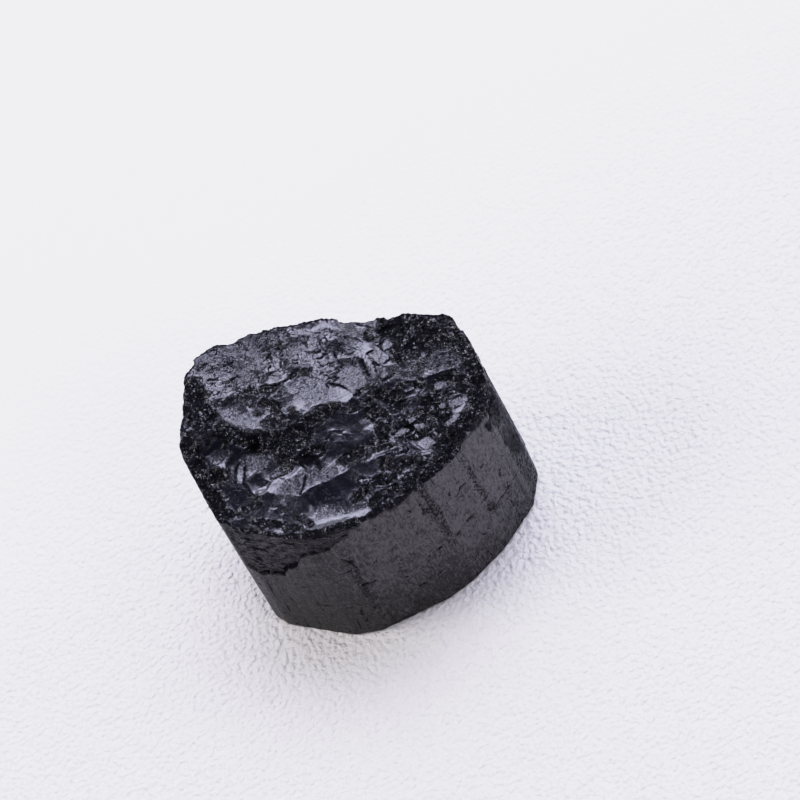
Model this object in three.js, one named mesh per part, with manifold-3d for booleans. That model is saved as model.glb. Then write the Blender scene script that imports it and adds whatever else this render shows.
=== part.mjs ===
// A rough black tourmaline: a short length of a striated prism, snapped across at both ends.
// Millimetres, +Z up along the prism's long axis. The stone stands on its flat broken base at z = 0.
import * as THREE from 'three';
import { mergeVertices } from 'three/addons/utils/BufferGeometryUtils.js';
import Module from 'manifold-3d';

const wasm = await Module();
wasm.setup();

// ---- Driving dimensions ----

// The prism's corners [x, y], anticlockwise seen from above, from the left end of the front.
const CORNERS = [
  [-13.35, -3.8], [-12.65, -5.4], [-7.85, -10.1], [-5.65, -11.05], [0.9, -11.55], [3.4, -11.15],
  [7.2, -9.75], [11.45, -7.1], [13.15, -4.2], [13.45, -0.3], [13.25, 2.2], [12.45, 3.8],
  [9.05, 5.9], [4.05, 8.2], [-1.95, 10.4], [-6.45, 11.55], [-8.45, 11.35], [-10.25, 10.1],
  [-12.75, 4.7], [-13.4, 2.9], [-13.45, 1.3],
];
const BLANK_HEIGHT = 19.6; // the prism before its top is broken off

// The wall carries shallow flutes along the prism's long axis.
const FLUTE_WIDTH = 1.3;
const FLUTE_DEPTH = 0.06;

// The broken base: its edge is bevelled all round.
const BASE_BEVEL = 0.4;
const BASE_BEVEL_HEIGHT = 0.45;

// The broken top is what is left under many shell-shaped scars. Each scar is a bowl with its middle at
// x, y, z. tilt is the bowl's slope there along x and y. Its half widths are across, back and front of a
// heading turned by turn degrees, and it is depth above its tilted middle plane at its half widths.
const SCARS = {
  plateau: [
    { x: -7.35, y: 9.15, z: 18.45, tilt: [0, 0.07], across: 4.6, back: 3.6, front: 4.2, turn: 20, depth: 0.28 },
    { x: -11.85, y: 6.65, z: 18.1, tilt: [0.16, 0.02], across: 2.4, back: 3.8, front: 3.2, turn: 15, depth: 0.4 },
    { x: -4.75, y: 10.9, z: 18.28, tilt: [0.05, 0.1], across: 1.1, back: 1.4, front: 1.2, turn: 0, depth: 0.25 },
    { x: -3.05, y: 6.85, z: 18.1, tilt: [0.02, 0.02], across: 2.2, back: 2.4, front: 2, turn: -15, depth: 0.2 },
    { x: 0.85, y: 7.05, z: 18.12, tilt: [-0.02, 0.06], across: 2.8, back: 2.8, front: 2.4, turn: -25, depth: 0.28 },
    { x: 4.45, y: 5.1, z: 17.55, tilt: [-0.34, 0.06], across: 1.7, back: 3, front: 2.6, turn: 12, depth: 0.3 },
    { x: -0.85, y: 2.55, z: 17.9, tilt: [0.02, 0.06], across: 2.1, back: 2.4, front: 1.9, turn: 0, depth: 0.26 },
    { x: -7.65, y: 3.35, z: 17.85, tilt: [-0.05, 0.08], across: 1.5, back: 1.9, front: 1.5, turn: 25, depth: 0.35 },
    { x: -4.45, y: 2.45, z: 17.88, tilt: [0.02, 0.1], across: 2.3, back: 3.4, front: 2, turn: 10, depth: 0.22 },
    { x: 2.55, y: 1.9, z: 17.6, tilt: [-0.1, 0.02], across: 2.2, back: 2.4, front: 2.2, turn: 10, depth: 0.3 },
    { x: 5.55, y: 2.35, z: 17.05, tilt: [-0.28, 0.02], across: 1.4, back: 2.8, front: 2.6, turn: 18, depth: 0.3 },
    { x: 7.15, y: 3.3, z: 16.85, tilt: [-0.1, 0.1], across: 1.5, back: 2, front: 2.2, turn: -10, depth: 0.3 },
    { x: 9.95, y: -0.1, z: 16.4, tilt: [-0.05, 0.05], across: 3.4, back: 2.2, front: 1.8, turn: -24, depth: 0.26 },
    { x: 10.35, y: 2.85, z: 16.45, tilt: [0.06, 0.24], across: 2.2, back: 2.4, front: 1.6, turn: -20, depth: 0.3 },
    { x: 10.35, y: 5.35, z: 16.55, tilt: [0.03, -0.1], across: 2.2, back: 1.8, front: 1.6, turn: -30, depth: 0.28 },
    { x: 7.35, y: 6.2, z: 16.75, tilt: [-0.3, -0.15], across: 1.8, back: 1.6, front: 1.6, turn: -30, depth: 0.35 },
    { x: 12.95, y: 2.9, z: 16.15, tilt: [-0.25, 0.25], across: 1.2, back: 1.8, front: 2, turn: 10, depth: 0.3 },
  ],
  slope: [
    { x: -9.05, y: 0.2, z: 16.95, tilt: [0.02, 0.45], across: 1.9, back: 3.2, front: 0.9, turn: -20, depth: 0.3 },
    { x: -10.85, y: 1.05, z: 17.05, tilt: [-0.1, 0.15], across: 0.9, back: 0.9, front: 0.9, turn: 0, depth: 0.3 },
    { x: -12.85, y: -0.3, z: 16.6, tilt: [0.1, 0.45], across: 1.6, back: 3.6, front: 1, turn: 5, depth: 0.3 },
    { x: -5.85, y: -1.95, z: 16.45, tilt: [0.2, 0.5], across: 1.5, back: 4, front: 0.9, turn: 16, depth: 0.3 },
    { x: -8.75, y: -1, z: 16.5, tilt: [-0.02, 0.05], across: 1.8, back: 1.4, front: 1.3, turn: 10, depth: 0.25 },
    { x: -3.65, y: -3.95, z: 16.18, tilt: [0.03, 0.44], across: 2.2, back: 5, front: 0.9, turn: 0, depth: 0.35 },
    { x: 0.75, y: -4.4, z: 16, tilt: [0.02, 0.4], across: 3.8, back: 5, front: 0.9, turn: -4, depth: 0.4 },
    { x: 5.55, y: -2.45, z: 16.18, tilt: [0.02, 0.42], across: 2.4, back: 3.2, front: 0.7, turn: 12, depth: 0.3 },
    { x: 10.15, y: -3.85, z: 15.85, tilt: [-0.02, 0.4], across: 2.4, back: 3.2, front: 0.8, turn: -10, depth: 0.3 },
  ],
  floor: [
    { x: -4.85, y: -4.9, z: 16.05, tilt: [-0.03, -0.03], across: 2.8, back: 1.3, front: 1.5, turn: -8, depth: 0.22 },
    { x: -11.45, y: -3.4, z: 15.8, tilt: [0.1, 0.37], across: 1.9, back: 3, front: 1.1, turn: 0, depth: 0.3 },
    { x: -8.15, y: -3.15, z: 16.08, tilt: [0, 0.37], across: 1.1, back: 1.8, front: 0.6, turn: 0, depth: 0.3 },
    { x: -9.25, y: -6.4, z: 15.55, tilt: [0.14, 0.28], across: 2.2, back: 3.4, front: 1.6, turn: -35, depth: 0.25 },
    { x: -4.05, y: -8.25, z: 15.38, tilt: [0.02, 0.37], across: 3, back: 3.8, front: 1.3, turn: -8, depth: 0.42 },
    { x: -3.55, y: -3.75, z: 15.35, tilt: [0, 0.2], across: 0.9, back: 1, front: 0.9, turn: 0, depth: 1 },
    { x: 0.75, y: -9.9, z: 15.45, tilt: [0, 0.37], across: 2, back: 2.6, front: 1.1, turn: 0, depth: 0.32 },
    { x: 1.55, y: -7.55, z: 15.72, tilt: [0.02, 0.4], across: 2, back: 3.4, front: 0.9, turn: 0, depth: 0.28 },
    { x: 3.95, y: -8.55, z: 15.48, tilt: [0.08, 0.34], across: 1.8, back: 2.6, front: 1.1, turn: 30, depth: 0.28 },
    { x: 4.35, y: -5.25, z: 15.86, tilt: [0.03, 0.02], across: 1, back: 0.8, front: 0.7, turn: 8, depth: 0.2 },
    { x: 6.25, y: -5.6, z: 15.8, tilt: [0.03, 0.05], across: 0.9, back: 0.8, front: 0.8, turn: 8, depth: 0.2 },
    { x: 5.95, y: -7.4, z: 15.52, tilt: [0.03, -0.05], across: 0.9, back: 1, front: 0.9, turn: 10, depth: 0.2 },
    { x: 5.95, y: -4.3, z: 15.9, tilt: [0.08, 0.4], across: 2.4, back: 2.6, front: 0.8, turn: 16, depth: 0.25 },
    { x: 9.35, y: -2.95, z: 15.95, tilt: [-0.05, 0.1], across: 0.8, back: 0.6, front: 0.6, turn: 0, depth: 0.22 },
    { x: 9.95, y: -5.45, z: 15.62, tilt: [0.05, 0.08], across: 1.6, back: 1.3, front: 1, turn: 32, depth: 0.25 },
    { x: 7.75, y: -6.25, z: 15.62, tilt: [0, 0.38], across: 1.3, back: 2.4, front: 0.9, turn: 10, depth: 0.25 },
    { x: 12.15, y: -5.25, z: 15.62, tilt: [0.08, 0.38], across: 1.4, back: 3, front: 1.2, turn: 10, depth: 0.25 },
    { x: -12.25, y: -5.6, z: 15.3, tilt: [0.05, 0.3], across: 1.6, back: 2.6, front: 1.2, turn: 0, depth: 0.25 },
    { x: 8.35, y: -8.35, z: 15.48, tilt: [0.05, 0.37], across: 2.2, back: 2.4, front: 1, turn: 30, depth: 0.25 },
  ],
};

// Where the prism's outer skin has flaked off below the rim. Each strip runs along the wall from one
// distance to the next, in millimetres anticlockwise from the first corner, and down to its own height.
const SKIN_DEPTH = 0.26;
const FLAKED_SKIN = [
  { from: 0.6, to: 2.5, bottom: 8.7 },
  { from: 2.5, to: 4.7, bottom: 9.1 },
  { from: 4.7, to: 6.1, bottom: 10.2 },
  { from: 6.1, to: 7.2, bottom: 11.6 },
  { from: 7.2, to: 8.8, bottom: 12.9 },
  { from: 8.8, to: 11.2, bottom: 13.4 },
  { from: 11.2, to: 12.6, bottom: 14.1 },
  { from: 40.5, to: 42.8, bottom: 12.6 },
  { from: 42.8, to: 46.4, bottom: 10.4 },
  { from: 46.4, to: 49.2, bottom: 11.5 },
  { from: 49.2, to: 51.0, bottom: 13.8 },
  { from: 63.5, to: 66.6, bottom: 13.2 },
  { from: 66.6, to: 69.4, bottom: 11.4 },
];

// Round chips out of the wall and its two edges: distance along the wall, height, radius and bite.
const CHIPS = [
  { at: 9.4, z: 0.2, radius: 2.2, bite: 0.45 },
  { at: 15.6, z: -0.4, radius: 2.8, bite: 0.5 },
  { at: 19.9, z: 11.6, radius: 1.3, bite: 0.3 },
  { at: 24.8, z: 5.6, radius: 1.2, bite: 0.3 },
  { at: 28.4, z: -0.4, radius: 2.6, bite: 0.6 },
  { at: 30.6, z: 12.6, radius: 2.7, bite: 0.5 },
  { at: 31.8, z: 6.8, radius: 3.2, bite: 0.5 },
  { at: 34.8, z: 0.2, radius: 2.5, bite: 0.6 },
  { at: 38.2, z: 15.9, radius: 2.4, bite: 0.6 },
  { at: 41.5, z: 5.5, radius: 3.6, bite: 0.5 },
  { at: 47.5, z: 0.1, radius: 3.2, bite: 0.7 },
  { at: 56.0, z: 6.5, radius: 3.4, bite: 0.45 },
  { at: 61.2, z: 0.3, radius: 2.8, bite: 0.7 },
  { at: 64.6, z: 5.4, radius: 2.6, bite: 0.4 },
  { at: 73.5, z: 3.2, radius: 3.2, bite: 0.45 },
];

const TOOL_TOP = 24; // cutting shapes reach past the blank's top
const CLEAR_OF_WALL = 2; // and this far outside its wall
const STRIP_OVERLAP = 0.1; // neighbouring skin strips overlap by this much at each end
const SCAR_RINGS = [0.45, 0.9, 1.35, 1.9, 2.8, 5]; // a bowl's rings, in half widths
const SCAR_SEGMENTS = 18;
const CHIP_DETAIL = 2; // subdivisions of a chip's ball

// ---- The outline ----

const sides = CORNERS.map((corner, i) => {
  const next = CORNERS[(i + 1) % CORNERS.length];
  return { corner, next, length: Math.hypot(next[0] - corner[0], next[1] - corner[1]) };
});

// The point a share of the way along one side of the outline, moved outwards by offset.
function sidePoint({ corner, next, length }, share, offset = 0) {
  const [alongX, alongY] = [next[0] - corner[0], next[1] - corner[1]];
  return new THREE.Vector2(
    corner[0] + alongX * share + (offset * alongY) / length,
    corner[1] + alongY * share - (offset * alongX) / length,
  );
}

// The point of the wall at a distance along the outline, moved outwards by offset.
function wallPoint(distance, offset = 0) {
  let rest = distance;
  const side = sides.find(({ length }) => {
    if (rest <= length) return true;
    rest -= length;
    return false;
  });
  return sidePoint(side, rest / side.length, offset);
}

// ---- The blank: a fluted prism ----

function buildBlank() {
  const points = sides.flatMap((side) => {
    const steps = 2 * Math.max(1, Math.round(side.length / FLUTE_WIDTH));
    return Array.from({ length: steps }, (_, k) => sidePoint(side, k / steps, k % 2 ? -FLUTE_DEPTH : 0));
  });
  const prism = new THREE.ExtrudeGeometry(new THREE.Shape(points), {
    depth: BLANK_HEIGHT,
    bevelSize: BASE_BEVEL,
    bevelOffset: -BASE_BEVEL,
    bevelThickness: BASE_BEVEL_HEIGHT,
    bevelSegments: 1,
  });
  return solidOf(prism.translate(0, 0, BASE_BEVEL_HEIGHT));
}

// ---- Cutting shapes ----

function solidOf(geometry) {
  const bare = geometry.clone();
  bare.deleteAttribute('normal');
  bare.deleteAttribute('uv');
  const merged = mergeVertices(bare, 1e-5);
  return new wasm.Manifold(new wasm.Mesh({
    numProp: 3,
    vertProperties: new Float32Array(merged.attributes.position.array),
    triVerts: new Uint32Array(merged.index.array),
  }));
}

// A scar's bowl with a shaft above it. The lathe's radius is in half widths and its height in depths.
function scarTool(scar) {
  const bowl = SCAR_RINGS.map((ring) => new THREE.Vector2(ring, ring * ring));
  const reach = SCAR_RINGS.at(-1);
  const shaftTop = (TOOL_TOP - scar.z) / scar.depth;
  const profile = [new THREE.Vector2(0, 0), ...bowl];
  profile.push(new THREE.Vector2(reach, shaftTop), new THREE.Vector2(0, shaftTop));
  const lathe = new THREE.LatheGeometry(profile, SCAR_SEGMENTS).rotateX(Math.PI / 2);
  const place = lathe.attributes.position;
  const turn = THREE.MathUtils.degToRad(scar.turn);
  for (let i = 0; i < place.count; i += 1) {
    const across = place.getX(i) * scar.across;
    const along = place.getY(i) * (place.getY(i) > 0 ? scar.back : scar.front);
    const dx = across * Math.cos(turn) - along * Math.sin(turn);
    const dy = across * Math.sin(turn) + along * Math.cos(turn);
    const isTop = place.getZ(i) === Math.fround(shaftTop);
    const height = isTop ? TOOL_TOP : scar.z + dx * scar.tilt[0] + dy * scar.tilt[1] + place.getZ(i) * scar.depth;
    place.setXYZ(i, scar.x + dx, scar.y + dy, height);
  }
  return solidOf(lathe);
}

// A strip of the wall's outer skin, from a height up past the rim.
function skinTool(strip) {
  const [start, end] = [strip.from - STRIP_OVERLAP, strip.to + STRIP_OVERLAP];
  const inner = [start, (start + end) / 2, end].map((distance) => wallPoint(distance, -SKIN_DEPTH));
  const outer = [end, start].map((distance) => wallPoint(distance, CLEAR_OF_WALL));
  const slab = new THREE.ExtrudeGeometry(new THREE.Shape([...inner, ...outer]), {
    depth: TOOL_TOP - strip.bottom,
    bevelEnabled: false,
  });
  return solidOf(slab.translate(0, 0, strip.bottom));
}

function chipTool(chip) {
  const centre = wallPoint(chip.at, chip.radius - chip.bite);
  const ball = new THREE.IcosahedronGeometry(chip.radius, CHIP_DETAIL);
  return solidOf(ball.translate(centre.x, centre.y, chip.z));
}

// ---- The stone ----

function stoneGeometry() {
  const scars = [...SCARS.plateau, ...SCARS.slope, ...SCARS.floor];
  const tools = [...scars.map(scarTool), ...FLAKED_SKIN.map(skinTool), ...CHIPS.map(chipTool)];
  const mesh = tools.reduce((stone, tool) => stone.subtract(tool), buildBlank()).getMesh();
  const geometry = new THREE.BufferGeometry();
  geometry.setAttribute('position', new THREE.BufferAttribute(mesh.vertProperties, 3));
  geometry.setIndex(new THREE.BufferAttribute(mesh.triVerts, 1));
  geometry.computeVertexNormals();
  return geometry;
}

const blackTourmaline = new THREE.MeshStandardMaterial({ color: 0x1b1b20, roughness: 0.35, metalness: 0 });
const tourmaline = new THREE.Mesh(stoneGeometry(), blackTourmaline);
tourmaline.name = 'tourmaline';

const specimen = new THREE.Group();
specimen.add(tourmaline);

export default specimen;
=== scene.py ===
"""A rough black tourmaline: a short length of a striated prism, snapped across at both ends.

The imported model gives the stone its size, its outline and its main shell scars. This script gives
it its fine surface: the same scars with their ledges, plates, cracks and crushed rims, the striated
satin wall and the patches where its outer skin has flaked, and the low relief of the base that it
stands on. Sizes are in millimetres until a mesh is made.
"""
import logging
import math
from dataclasses import asdict, dataclass, field
from enum import Enum
from typing import Any

import bpy
import numpy as np
from mathutils import Matrix, Vector


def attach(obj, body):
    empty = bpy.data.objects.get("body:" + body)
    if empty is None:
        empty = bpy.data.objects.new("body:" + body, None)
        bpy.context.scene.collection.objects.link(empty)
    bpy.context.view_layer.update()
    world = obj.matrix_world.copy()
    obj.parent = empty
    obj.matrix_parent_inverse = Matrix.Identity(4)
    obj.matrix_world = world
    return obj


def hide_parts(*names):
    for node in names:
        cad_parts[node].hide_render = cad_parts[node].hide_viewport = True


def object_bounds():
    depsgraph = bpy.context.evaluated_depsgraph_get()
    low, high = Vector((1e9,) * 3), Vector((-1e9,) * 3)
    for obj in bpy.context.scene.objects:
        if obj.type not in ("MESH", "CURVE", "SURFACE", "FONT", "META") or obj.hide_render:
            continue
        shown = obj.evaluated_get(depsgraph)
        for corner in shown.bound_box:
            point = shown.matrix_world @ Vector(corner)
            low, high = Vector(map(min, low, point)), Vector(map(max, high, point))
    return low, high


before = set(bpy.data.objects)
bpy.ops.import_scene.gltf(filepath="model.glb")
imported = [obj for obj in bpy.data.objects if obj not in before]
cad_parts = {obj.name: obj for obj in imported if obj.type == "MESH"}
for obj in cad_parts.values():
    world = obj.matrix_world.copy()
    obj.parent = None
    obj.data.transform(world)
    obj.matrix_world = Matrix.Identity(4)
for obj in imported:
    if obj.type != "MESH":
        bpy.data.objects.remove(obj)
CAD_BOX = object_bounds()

log = logging.getLogger("tourmaline")

MM = 0.001  # a millimetre in metres
Points = tuple[tuple[float, float], ...]
Array, Node, Socket = np.ndarray, bpy.types.Node, bpy.types.NodeSocket

# --- Node graphs ---


class Value:
    """One number that flows through a node tree. Arithmetic on it adds Math nodes."""

    def __init__(self, graph: "Graph", socket: Socket) -> None:
        """Wrap an output socket that carries one number."""
        self.graph = graph
        self.socket = socket

    def math(self, operation: str, *others: Any) -> "Value":
        """Run a Math node on this value.

        Args:
            operation: the Math node's operation.
            others: its second and third inputs, as numbers or values.

        Returns:
            The node's result.
        """
        inputs = dict(enumerate((self, *others)))
        node = self.graph.node("ShaderNodeMath", {"operation": operation}, inputs)
        return Value(self.graph, node.outputs[0])

    def _turned(self, operation: str, first: float) -> "Value":
        """A Math node with a plain number as its first input and this value as its second."""
        node = self.graph.node("ShaderNodeMath", {"operation": operation}, {0: first, 1: self})
        return Value(self.graph, node.outputs[0])

    def __add__(self, other: Any) -> "Value":
        """This value plus another."""
        return self.math("ADD", other)

    __radd__ = __add__

    def __sub__(self, other: Any) -> "Value":
        """This value less another."""
        return self.math("SUBTRACT", other)

    def __rsub__(self, other: float) -> "Value":
        """A plain number less this value."""
        return self._turned("SUBTRACT", other)

    def __mul__(self, other: Any) -> "Value":
        """This value times another."""
        return self.math("MULTIPLY", other)

    __rmul__ = __mul__

    def __truediv__(self, other: Any) -> "Value":
        """This value divided by another."""
        return self.math("DIVIDE", other)

    def __rtruediv__(self, other: float) -> "Value":
        """A plain number divided by this value."""
        return self._turned("DIVIDE", other)

    def __pow__(self, other: Any) -> "Value":
        """This value to a power."""
        return self.math("POWER", other)

    def clamped(self) -> "Value":
        """This value kept between 0 and 1."""
        return self.math("MINIMUM", 1.0).math("MAXIMUM", 0.0)

    def ramp(self, low: float, high: float) -> "Value":
        """How far this value has gone from low to high, kept between 0 and 1."""
        return ((self - low) / (high - low)).clamped()

    def lines(self, count: float, thin: float) -> "Value":
        """1 in thin lines along this value's levels, that many from 0 to 1, and 0 between them."""
        wave = ((self * count).math("FRACT") - 0.5).math("ABSOLUTE") * 2.0
        return wave.ramp(thin, 0.5 + 0.5 * thin)


class Graph:
    """A node tree under construction."""

    def __init__(self, tree: bpy.types.NodeTree) -> None:
        """Start on the node tree of a material, a world or a modifier."""
        self.tree = tree

    def node(
        self,
        kind: str,
        settings: dict[str, Any] | None = None,
        inputs: dict[Any, Any] | None = None,
    ) -> Node:
        """Add one node: its settings first, then the values or links of its sockets.

        Args:
            kind: the node's type.
            settings: the node's own properties, such as a Math node's operation.
            inputs: what each input socket, named or numbered, holds or is linked from.

        Returns:
            The node.
        """
        node = self.tree.nodes.new(kind)
        for name, value in (settings or {}).items():
            setattr(node, name, value)
        for key, value in (inputs or {}).items():
            self.feed(self.pick(node.inputs, key), value)
        return node

    @staticmethod
    def pick(sockets: Any, key: Any) -> Socket:
        """The socket in use with that name, or the one at that number."""
        if isinstance(key, int):
            return sockets[key]
        return next(socket for socket in sockets if socket.name == key and socket.enabled)

    def feed(self, socket: Socket, value: Any) -> None:
        """Link a value, node or socket into a socket, or set it to a plain number or tuple."""
        if isinstance(value, Value):
            self.tree.links.new(value.socket, socket)
        elif isinstance(value, Socket):
            self.tree.links.new(value, socket)
        elif isinstance(value, Node):
            self.tree.links.new(value.outputs[0], socket)
        else:
            socket.default_value = value

    def value(self, node: Node, output: Any = 0) -> Value:
        """The number that one of a node's outputs carries."""
        return Value(self, self.pick(node.outputs, output))

    def vector(self, operation: str, *inputs: Any) -> Socket:
        """Run a Vector Math node and return its vector, or its number for a product or a length."""
        node = self.node("ShaderNodeVectorMath", {"operation": operation}, dict(enumerate(inputs)))
        return next(socket for socket in node.outputs if socket.enabled)

    def scaled(self, vector: Any, factor: Any) -> Socket:
        """A vector times a number."""
        scaled = self.vector("SCALE", vector)
        self.feed(scaled.node.inputs["Scale"], factor)
        return scaled

    def height_of(self, place: Socket) -> Value:
        """The height of a place."""
        return self.value(self.node("ShaderNodeSeparateXYZ", inputs={0: place}), "Z")

    def noise(
        self,
        place: Any,
        scale: float,
        detail: float,
        roughness: float = 0.5,
        twist: float = 0.0,
        space: str = "3D",
    ) -> Value:
        """Add a soft noise.

        Args:
            place: where it is read.
            scale: how many swells it has in each unit of that place.
            detail: how many finer layers it has.
            roughness: how strong those are.
            twist: how much it curls.
            space: "3D", or "2D" for a noise over a flat plan.

        Returns:
            Its level at each point, from about 0.2 to 0.8.
        """
        inputs = {"Vector": place, "Scale": scale, "Detail": detail}
        inputs |= {"Roughness": roughness, "Distortion": twist}
        node = self.node("ShaderNodeTexNoise", {"noise_dimensions": space}, inputs)
        return self.value(node, "Fac")

    def facets(self, place: Socket, scale: float) -> Value:
        """Add small broken faces, each tilted its own way.

        Args:
            place: where they are read.
            scale: how many there are in each unit of that place.

        Returns:
            Their height, for slopes up to a half.
        """
        kind = {"voronoi_dimensions": "3D", "feature": "F1"}
        cell = self.node("ShaderNodeTexVoronoi", kind, {"Vector": place, "Scale": scale})
        tilt = self.vector("SUBTRACT", cell.outputs["Color"], (0.5, 0.5, 0.5))
        reach = self.vector("SUBTRACT", place, cell.outputs["Position"])
        return Value(self, self.vector("DOT_PRODUCT", tilt, reach))


def new_material(name: str) -> tuple[bpy.types.Material, Graph]:
    """Start a material with no nodes."""
    material = bpy.data.materials.new(name)
    material.use_nodes = True
    material.node_tree.nodes.clear()
    return material, Graph(material.node_tree)


# --- What the relief is made from: marks, seeded fields, grooves and streaks ---

LATTICE = 128  # a seeded field repeats after this many cells


class Mark(Enum):
    """What the mesh knows about each of its points."""

    CRUSHED = "crushed"  # how far it is crushed to a sugary crust
    RIPPLED = "rippled"  # how strongly the glassy break is rippled
    FROSTED = "frosted"  # how finely granular the break is
    SATIN = "satin"  # the striated outer skin
    FLAKED = "flaked"  # wall that has lost its skin
    DEEP = "deep"  # how far it is painted dark as shade: deep in a crack, and on the wall in its dark patches too
    PALE = "pale"  # how much lighter its skin is painted: painted light on the faces that the lamps light more, with painted shade towards the foot
    ALONG = "along"  # millimetres along the outline


def smooth(low: float, high: float, value: Array) -> Array:
    """Ease each value from 0 at low to 1 at high; low may be the larger of the two."""
    share = np.clip((value - low) / (high - low), 0.0, 1.0)
    return share * share * (3.0 - 2.0 * share)


@dataclass(frozen=True)
class Waver:
    """A soft random field from -1 to 1.

    Attributes:
        cell: the size of its swells, in millimetres.
        seed: which field it is.
    """

    cell: float
    seed: int

    def at(self, x: Array, y: Array | float = 0.0) -> Array:
        """The field's value at each point."""
        table = np.random.default_rng(self.seed).uniform(-1.0, 1.0, (LATTICE, LATTICE))
        u, v = np.broadcast_arrays(x / self.cell, np.asarray(y) / self.cell)
        i, j = np.floor(u).astype(int), np.floor(v).astype(int)
        s, t = smooth(0.0, 1.0, u - i), smooth(0.0, 1.0, v - j)
        near = table[i % LATTICE, j % LATTICE] * (1 - s) + table[(i + 1) % LATTICE, j % LATTICE] * s
        far = table[i % LATTICE, (j + 1) % LATTICE] * (1 - s)
        far = far + table[(i + 1) % LATTICE, (j + 1) % LATTICE] * s
        return near * (1 - t) + far * t


@dataclass(frozen=True)
class Bend:
    """A soft push sideways that lets straight edges wander.

    Attributes:
        cell: the size of its swells, in millimetres.
        reach: how far it pushes, in millimetres.
        seed: which push it is.
    """

    cell: float
    reach: float
    seed: int

    def at(self, x: Array, y: Array) -> tuple[Array, Array]:
        """Where each point is pushed to."""
        return (
            x + self.reach * Waver(self.cell, self.seed).at(x, y),
            y + self.reach * Waver(self.cell, self.seed + 1).at(x, y),
        )


@dataclass(frozen=True)
class Flaking:
    """Many small shell scars side by side, each tilted its own way.

    Attributes:
        cell: the usual distance between scars, in millimetres.
        tilt: the steepest slope a scar may have.
        bowl: how strongly each scar is dished.
        seed: which set of scars it is.
        seam: how deep the cracks between them are.
    """

    cell: float
    tilt: float
    bowl: float
    seed: int
    seam: float = 0.0

    def at(self, x: Array, y: Array) -> Array:
        """The height of the scars at each point, in millimetres, about zero."""
        rng = np.random.default_rng(self.seed)
        place = rng.uniform(0.1, 0.9, (2, LATTICE, LATTICE))
        slope = rng.uniform(-self.tilt, self.tilt, (2, LATTICE, LATTICE))
        lift = rng.uniform(-0.12, 0.12, (LATTICE, LATTICE)) * self.cell
        i0, j0 = np.floor(x / self.cell).astype(int), np.floor(y / self.cell).astype(int)
        best, second = np.full(np.shape(x), np.inf), np.full(np.shape(x), np.inf)
        for di in (-1, 0, 1):
            for dj in (-1, 0, 1):
                i, j = i0 + di, j0 + dj
                cell = (i % LATTICE, j % LATTICE)
                dx = x - (i + place[0][cell]) * self.cell
                dy = y - (j + place[1][cell]) * self.cell
                height = lift[cell] + slope[0][cell] * dx + slope[1][cell] * dy
                height = height + self.bowl * (dx * dx + dy * dy) / self.cell
                second = np.minimum(second, np.maximum(best, height))
                best = np.minimum(best, height)
        if not self.seam:
            return best
        open_seams = smooth(-0.1, 0.5, Waver(1.3 * self.cell, self.seed + 100).at(x, y))
        return best - self.seam * open_seams * np.clip(1.0 - (second - best) / 0.04, 0.0, 1.0)


def distance_to_line(points: Points, x: Array, y: Array) -> tuple[Array, Array]:
    """Measure how far points are from a broken line.

    Args:
        points: the line's corners.
        x: the points' first coordinate.
        y: the points' second coordinate.

    Returns:
        Each point's distance from the line, and how far along it the nearest place is, from 0 to 1.
    """
    steps = [math.dist(a, b) for a, b in zip(points, points[1:])]
    total, gone = sum(steps), 0.0
    best, share = np.full(np.shape(x), np.inf), np.zeros(np.shape(x))
    for (ax, ay), (bx, by), step in zip(points, points[1:], steps):
        t = ((x - ax) * (bx - ax) + (y - ay) * (by - ay)) / step**2
        t = np.clip(t, 0.0, 1.0)
        away = np.hypot(x - ax - t * (bx - ax), y - ay - t * (by - ay))
        nearer = away < best
        best = np.where(nearer, away, best)
        share = np.where(nearer, (gone + t * step) / total, share)
        gone += step
    return best, share


def close_to(points: Points, reach: float, x: Array, y: Array) -> Array:
    """Whether each point is inside a broken line's own box, widened on all sides by a reach."""
    low, high = np.min(points, axis=0) - reach, np.max(points, axis=0) + reach
    return (x > low[0]) & (x < high[0]) & (y > low[1]) & (y < high[1])


GROOVE_WAVER = Waver(cell=0.45, seed=9)  # how a groove's width and depth vary along it


@dataclass(frozen=True)
class Groove:
    """A crack, or a raised hackle where its depth is negative.

    Attributes:
        line: the corners of its path, in millimetres.
        width: its half width.
        depth: how deep it is in its middle.
    """

    line: Points
    width: float
    depth: float

    def relief(self, x: Array, y: Array) -> Array:
        """The height it adds at each point: below zero in a crack."""
        height = np.zeros(np.shape(x))
        near = close_to(self.line, 1.6 * self.width, x, y)
        away, share = distance_to_line(self.line, x[near], y[near])
        fade = np.minimum(1.0, 6.0 * np.minimum(share, 1.0 - share) + 0.35)
        fade = fade * (1.0 + 0.6 * GROOVE_WAVER.at(x[near], y[near]))
        height[near] = -self.depth * fade * np.clip(1.0 - away / (self.width * fade), 0.0, 1.0)
        return height


@dataclass(frozen=True)
class Streak:
    """A stretch of the surface with one texture.

    Attributes:
        line: the corners of its middle line, in millimetres.
        width: its half width.
        strength: how strong the texture is in its middle.
    """

    line: Points
    width: float
    strength: float = 1.0

    def share(self, x: Array, y: Array) -> Array:
        """How strong the texture is at each point."""
        away, _ = distance_to_line(self.line, x, y)
        return self.strength * smooth(1.15 * self.width, 0.65 * self.width, away)


Streaks, Grooves = tuple[Streak, ...], tuple[Groove, ...]


def strongest(streaks: Streaks, x: Array, y: Array) -> Array:
    """The strength of whichever streak is strongest at each point."""
    result = np.zeros(np.shape(x))
    for streak in streaks:
        result = np.maximum(result, streak.share(x, y))
    return result


# --- The broken top ---


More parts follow.
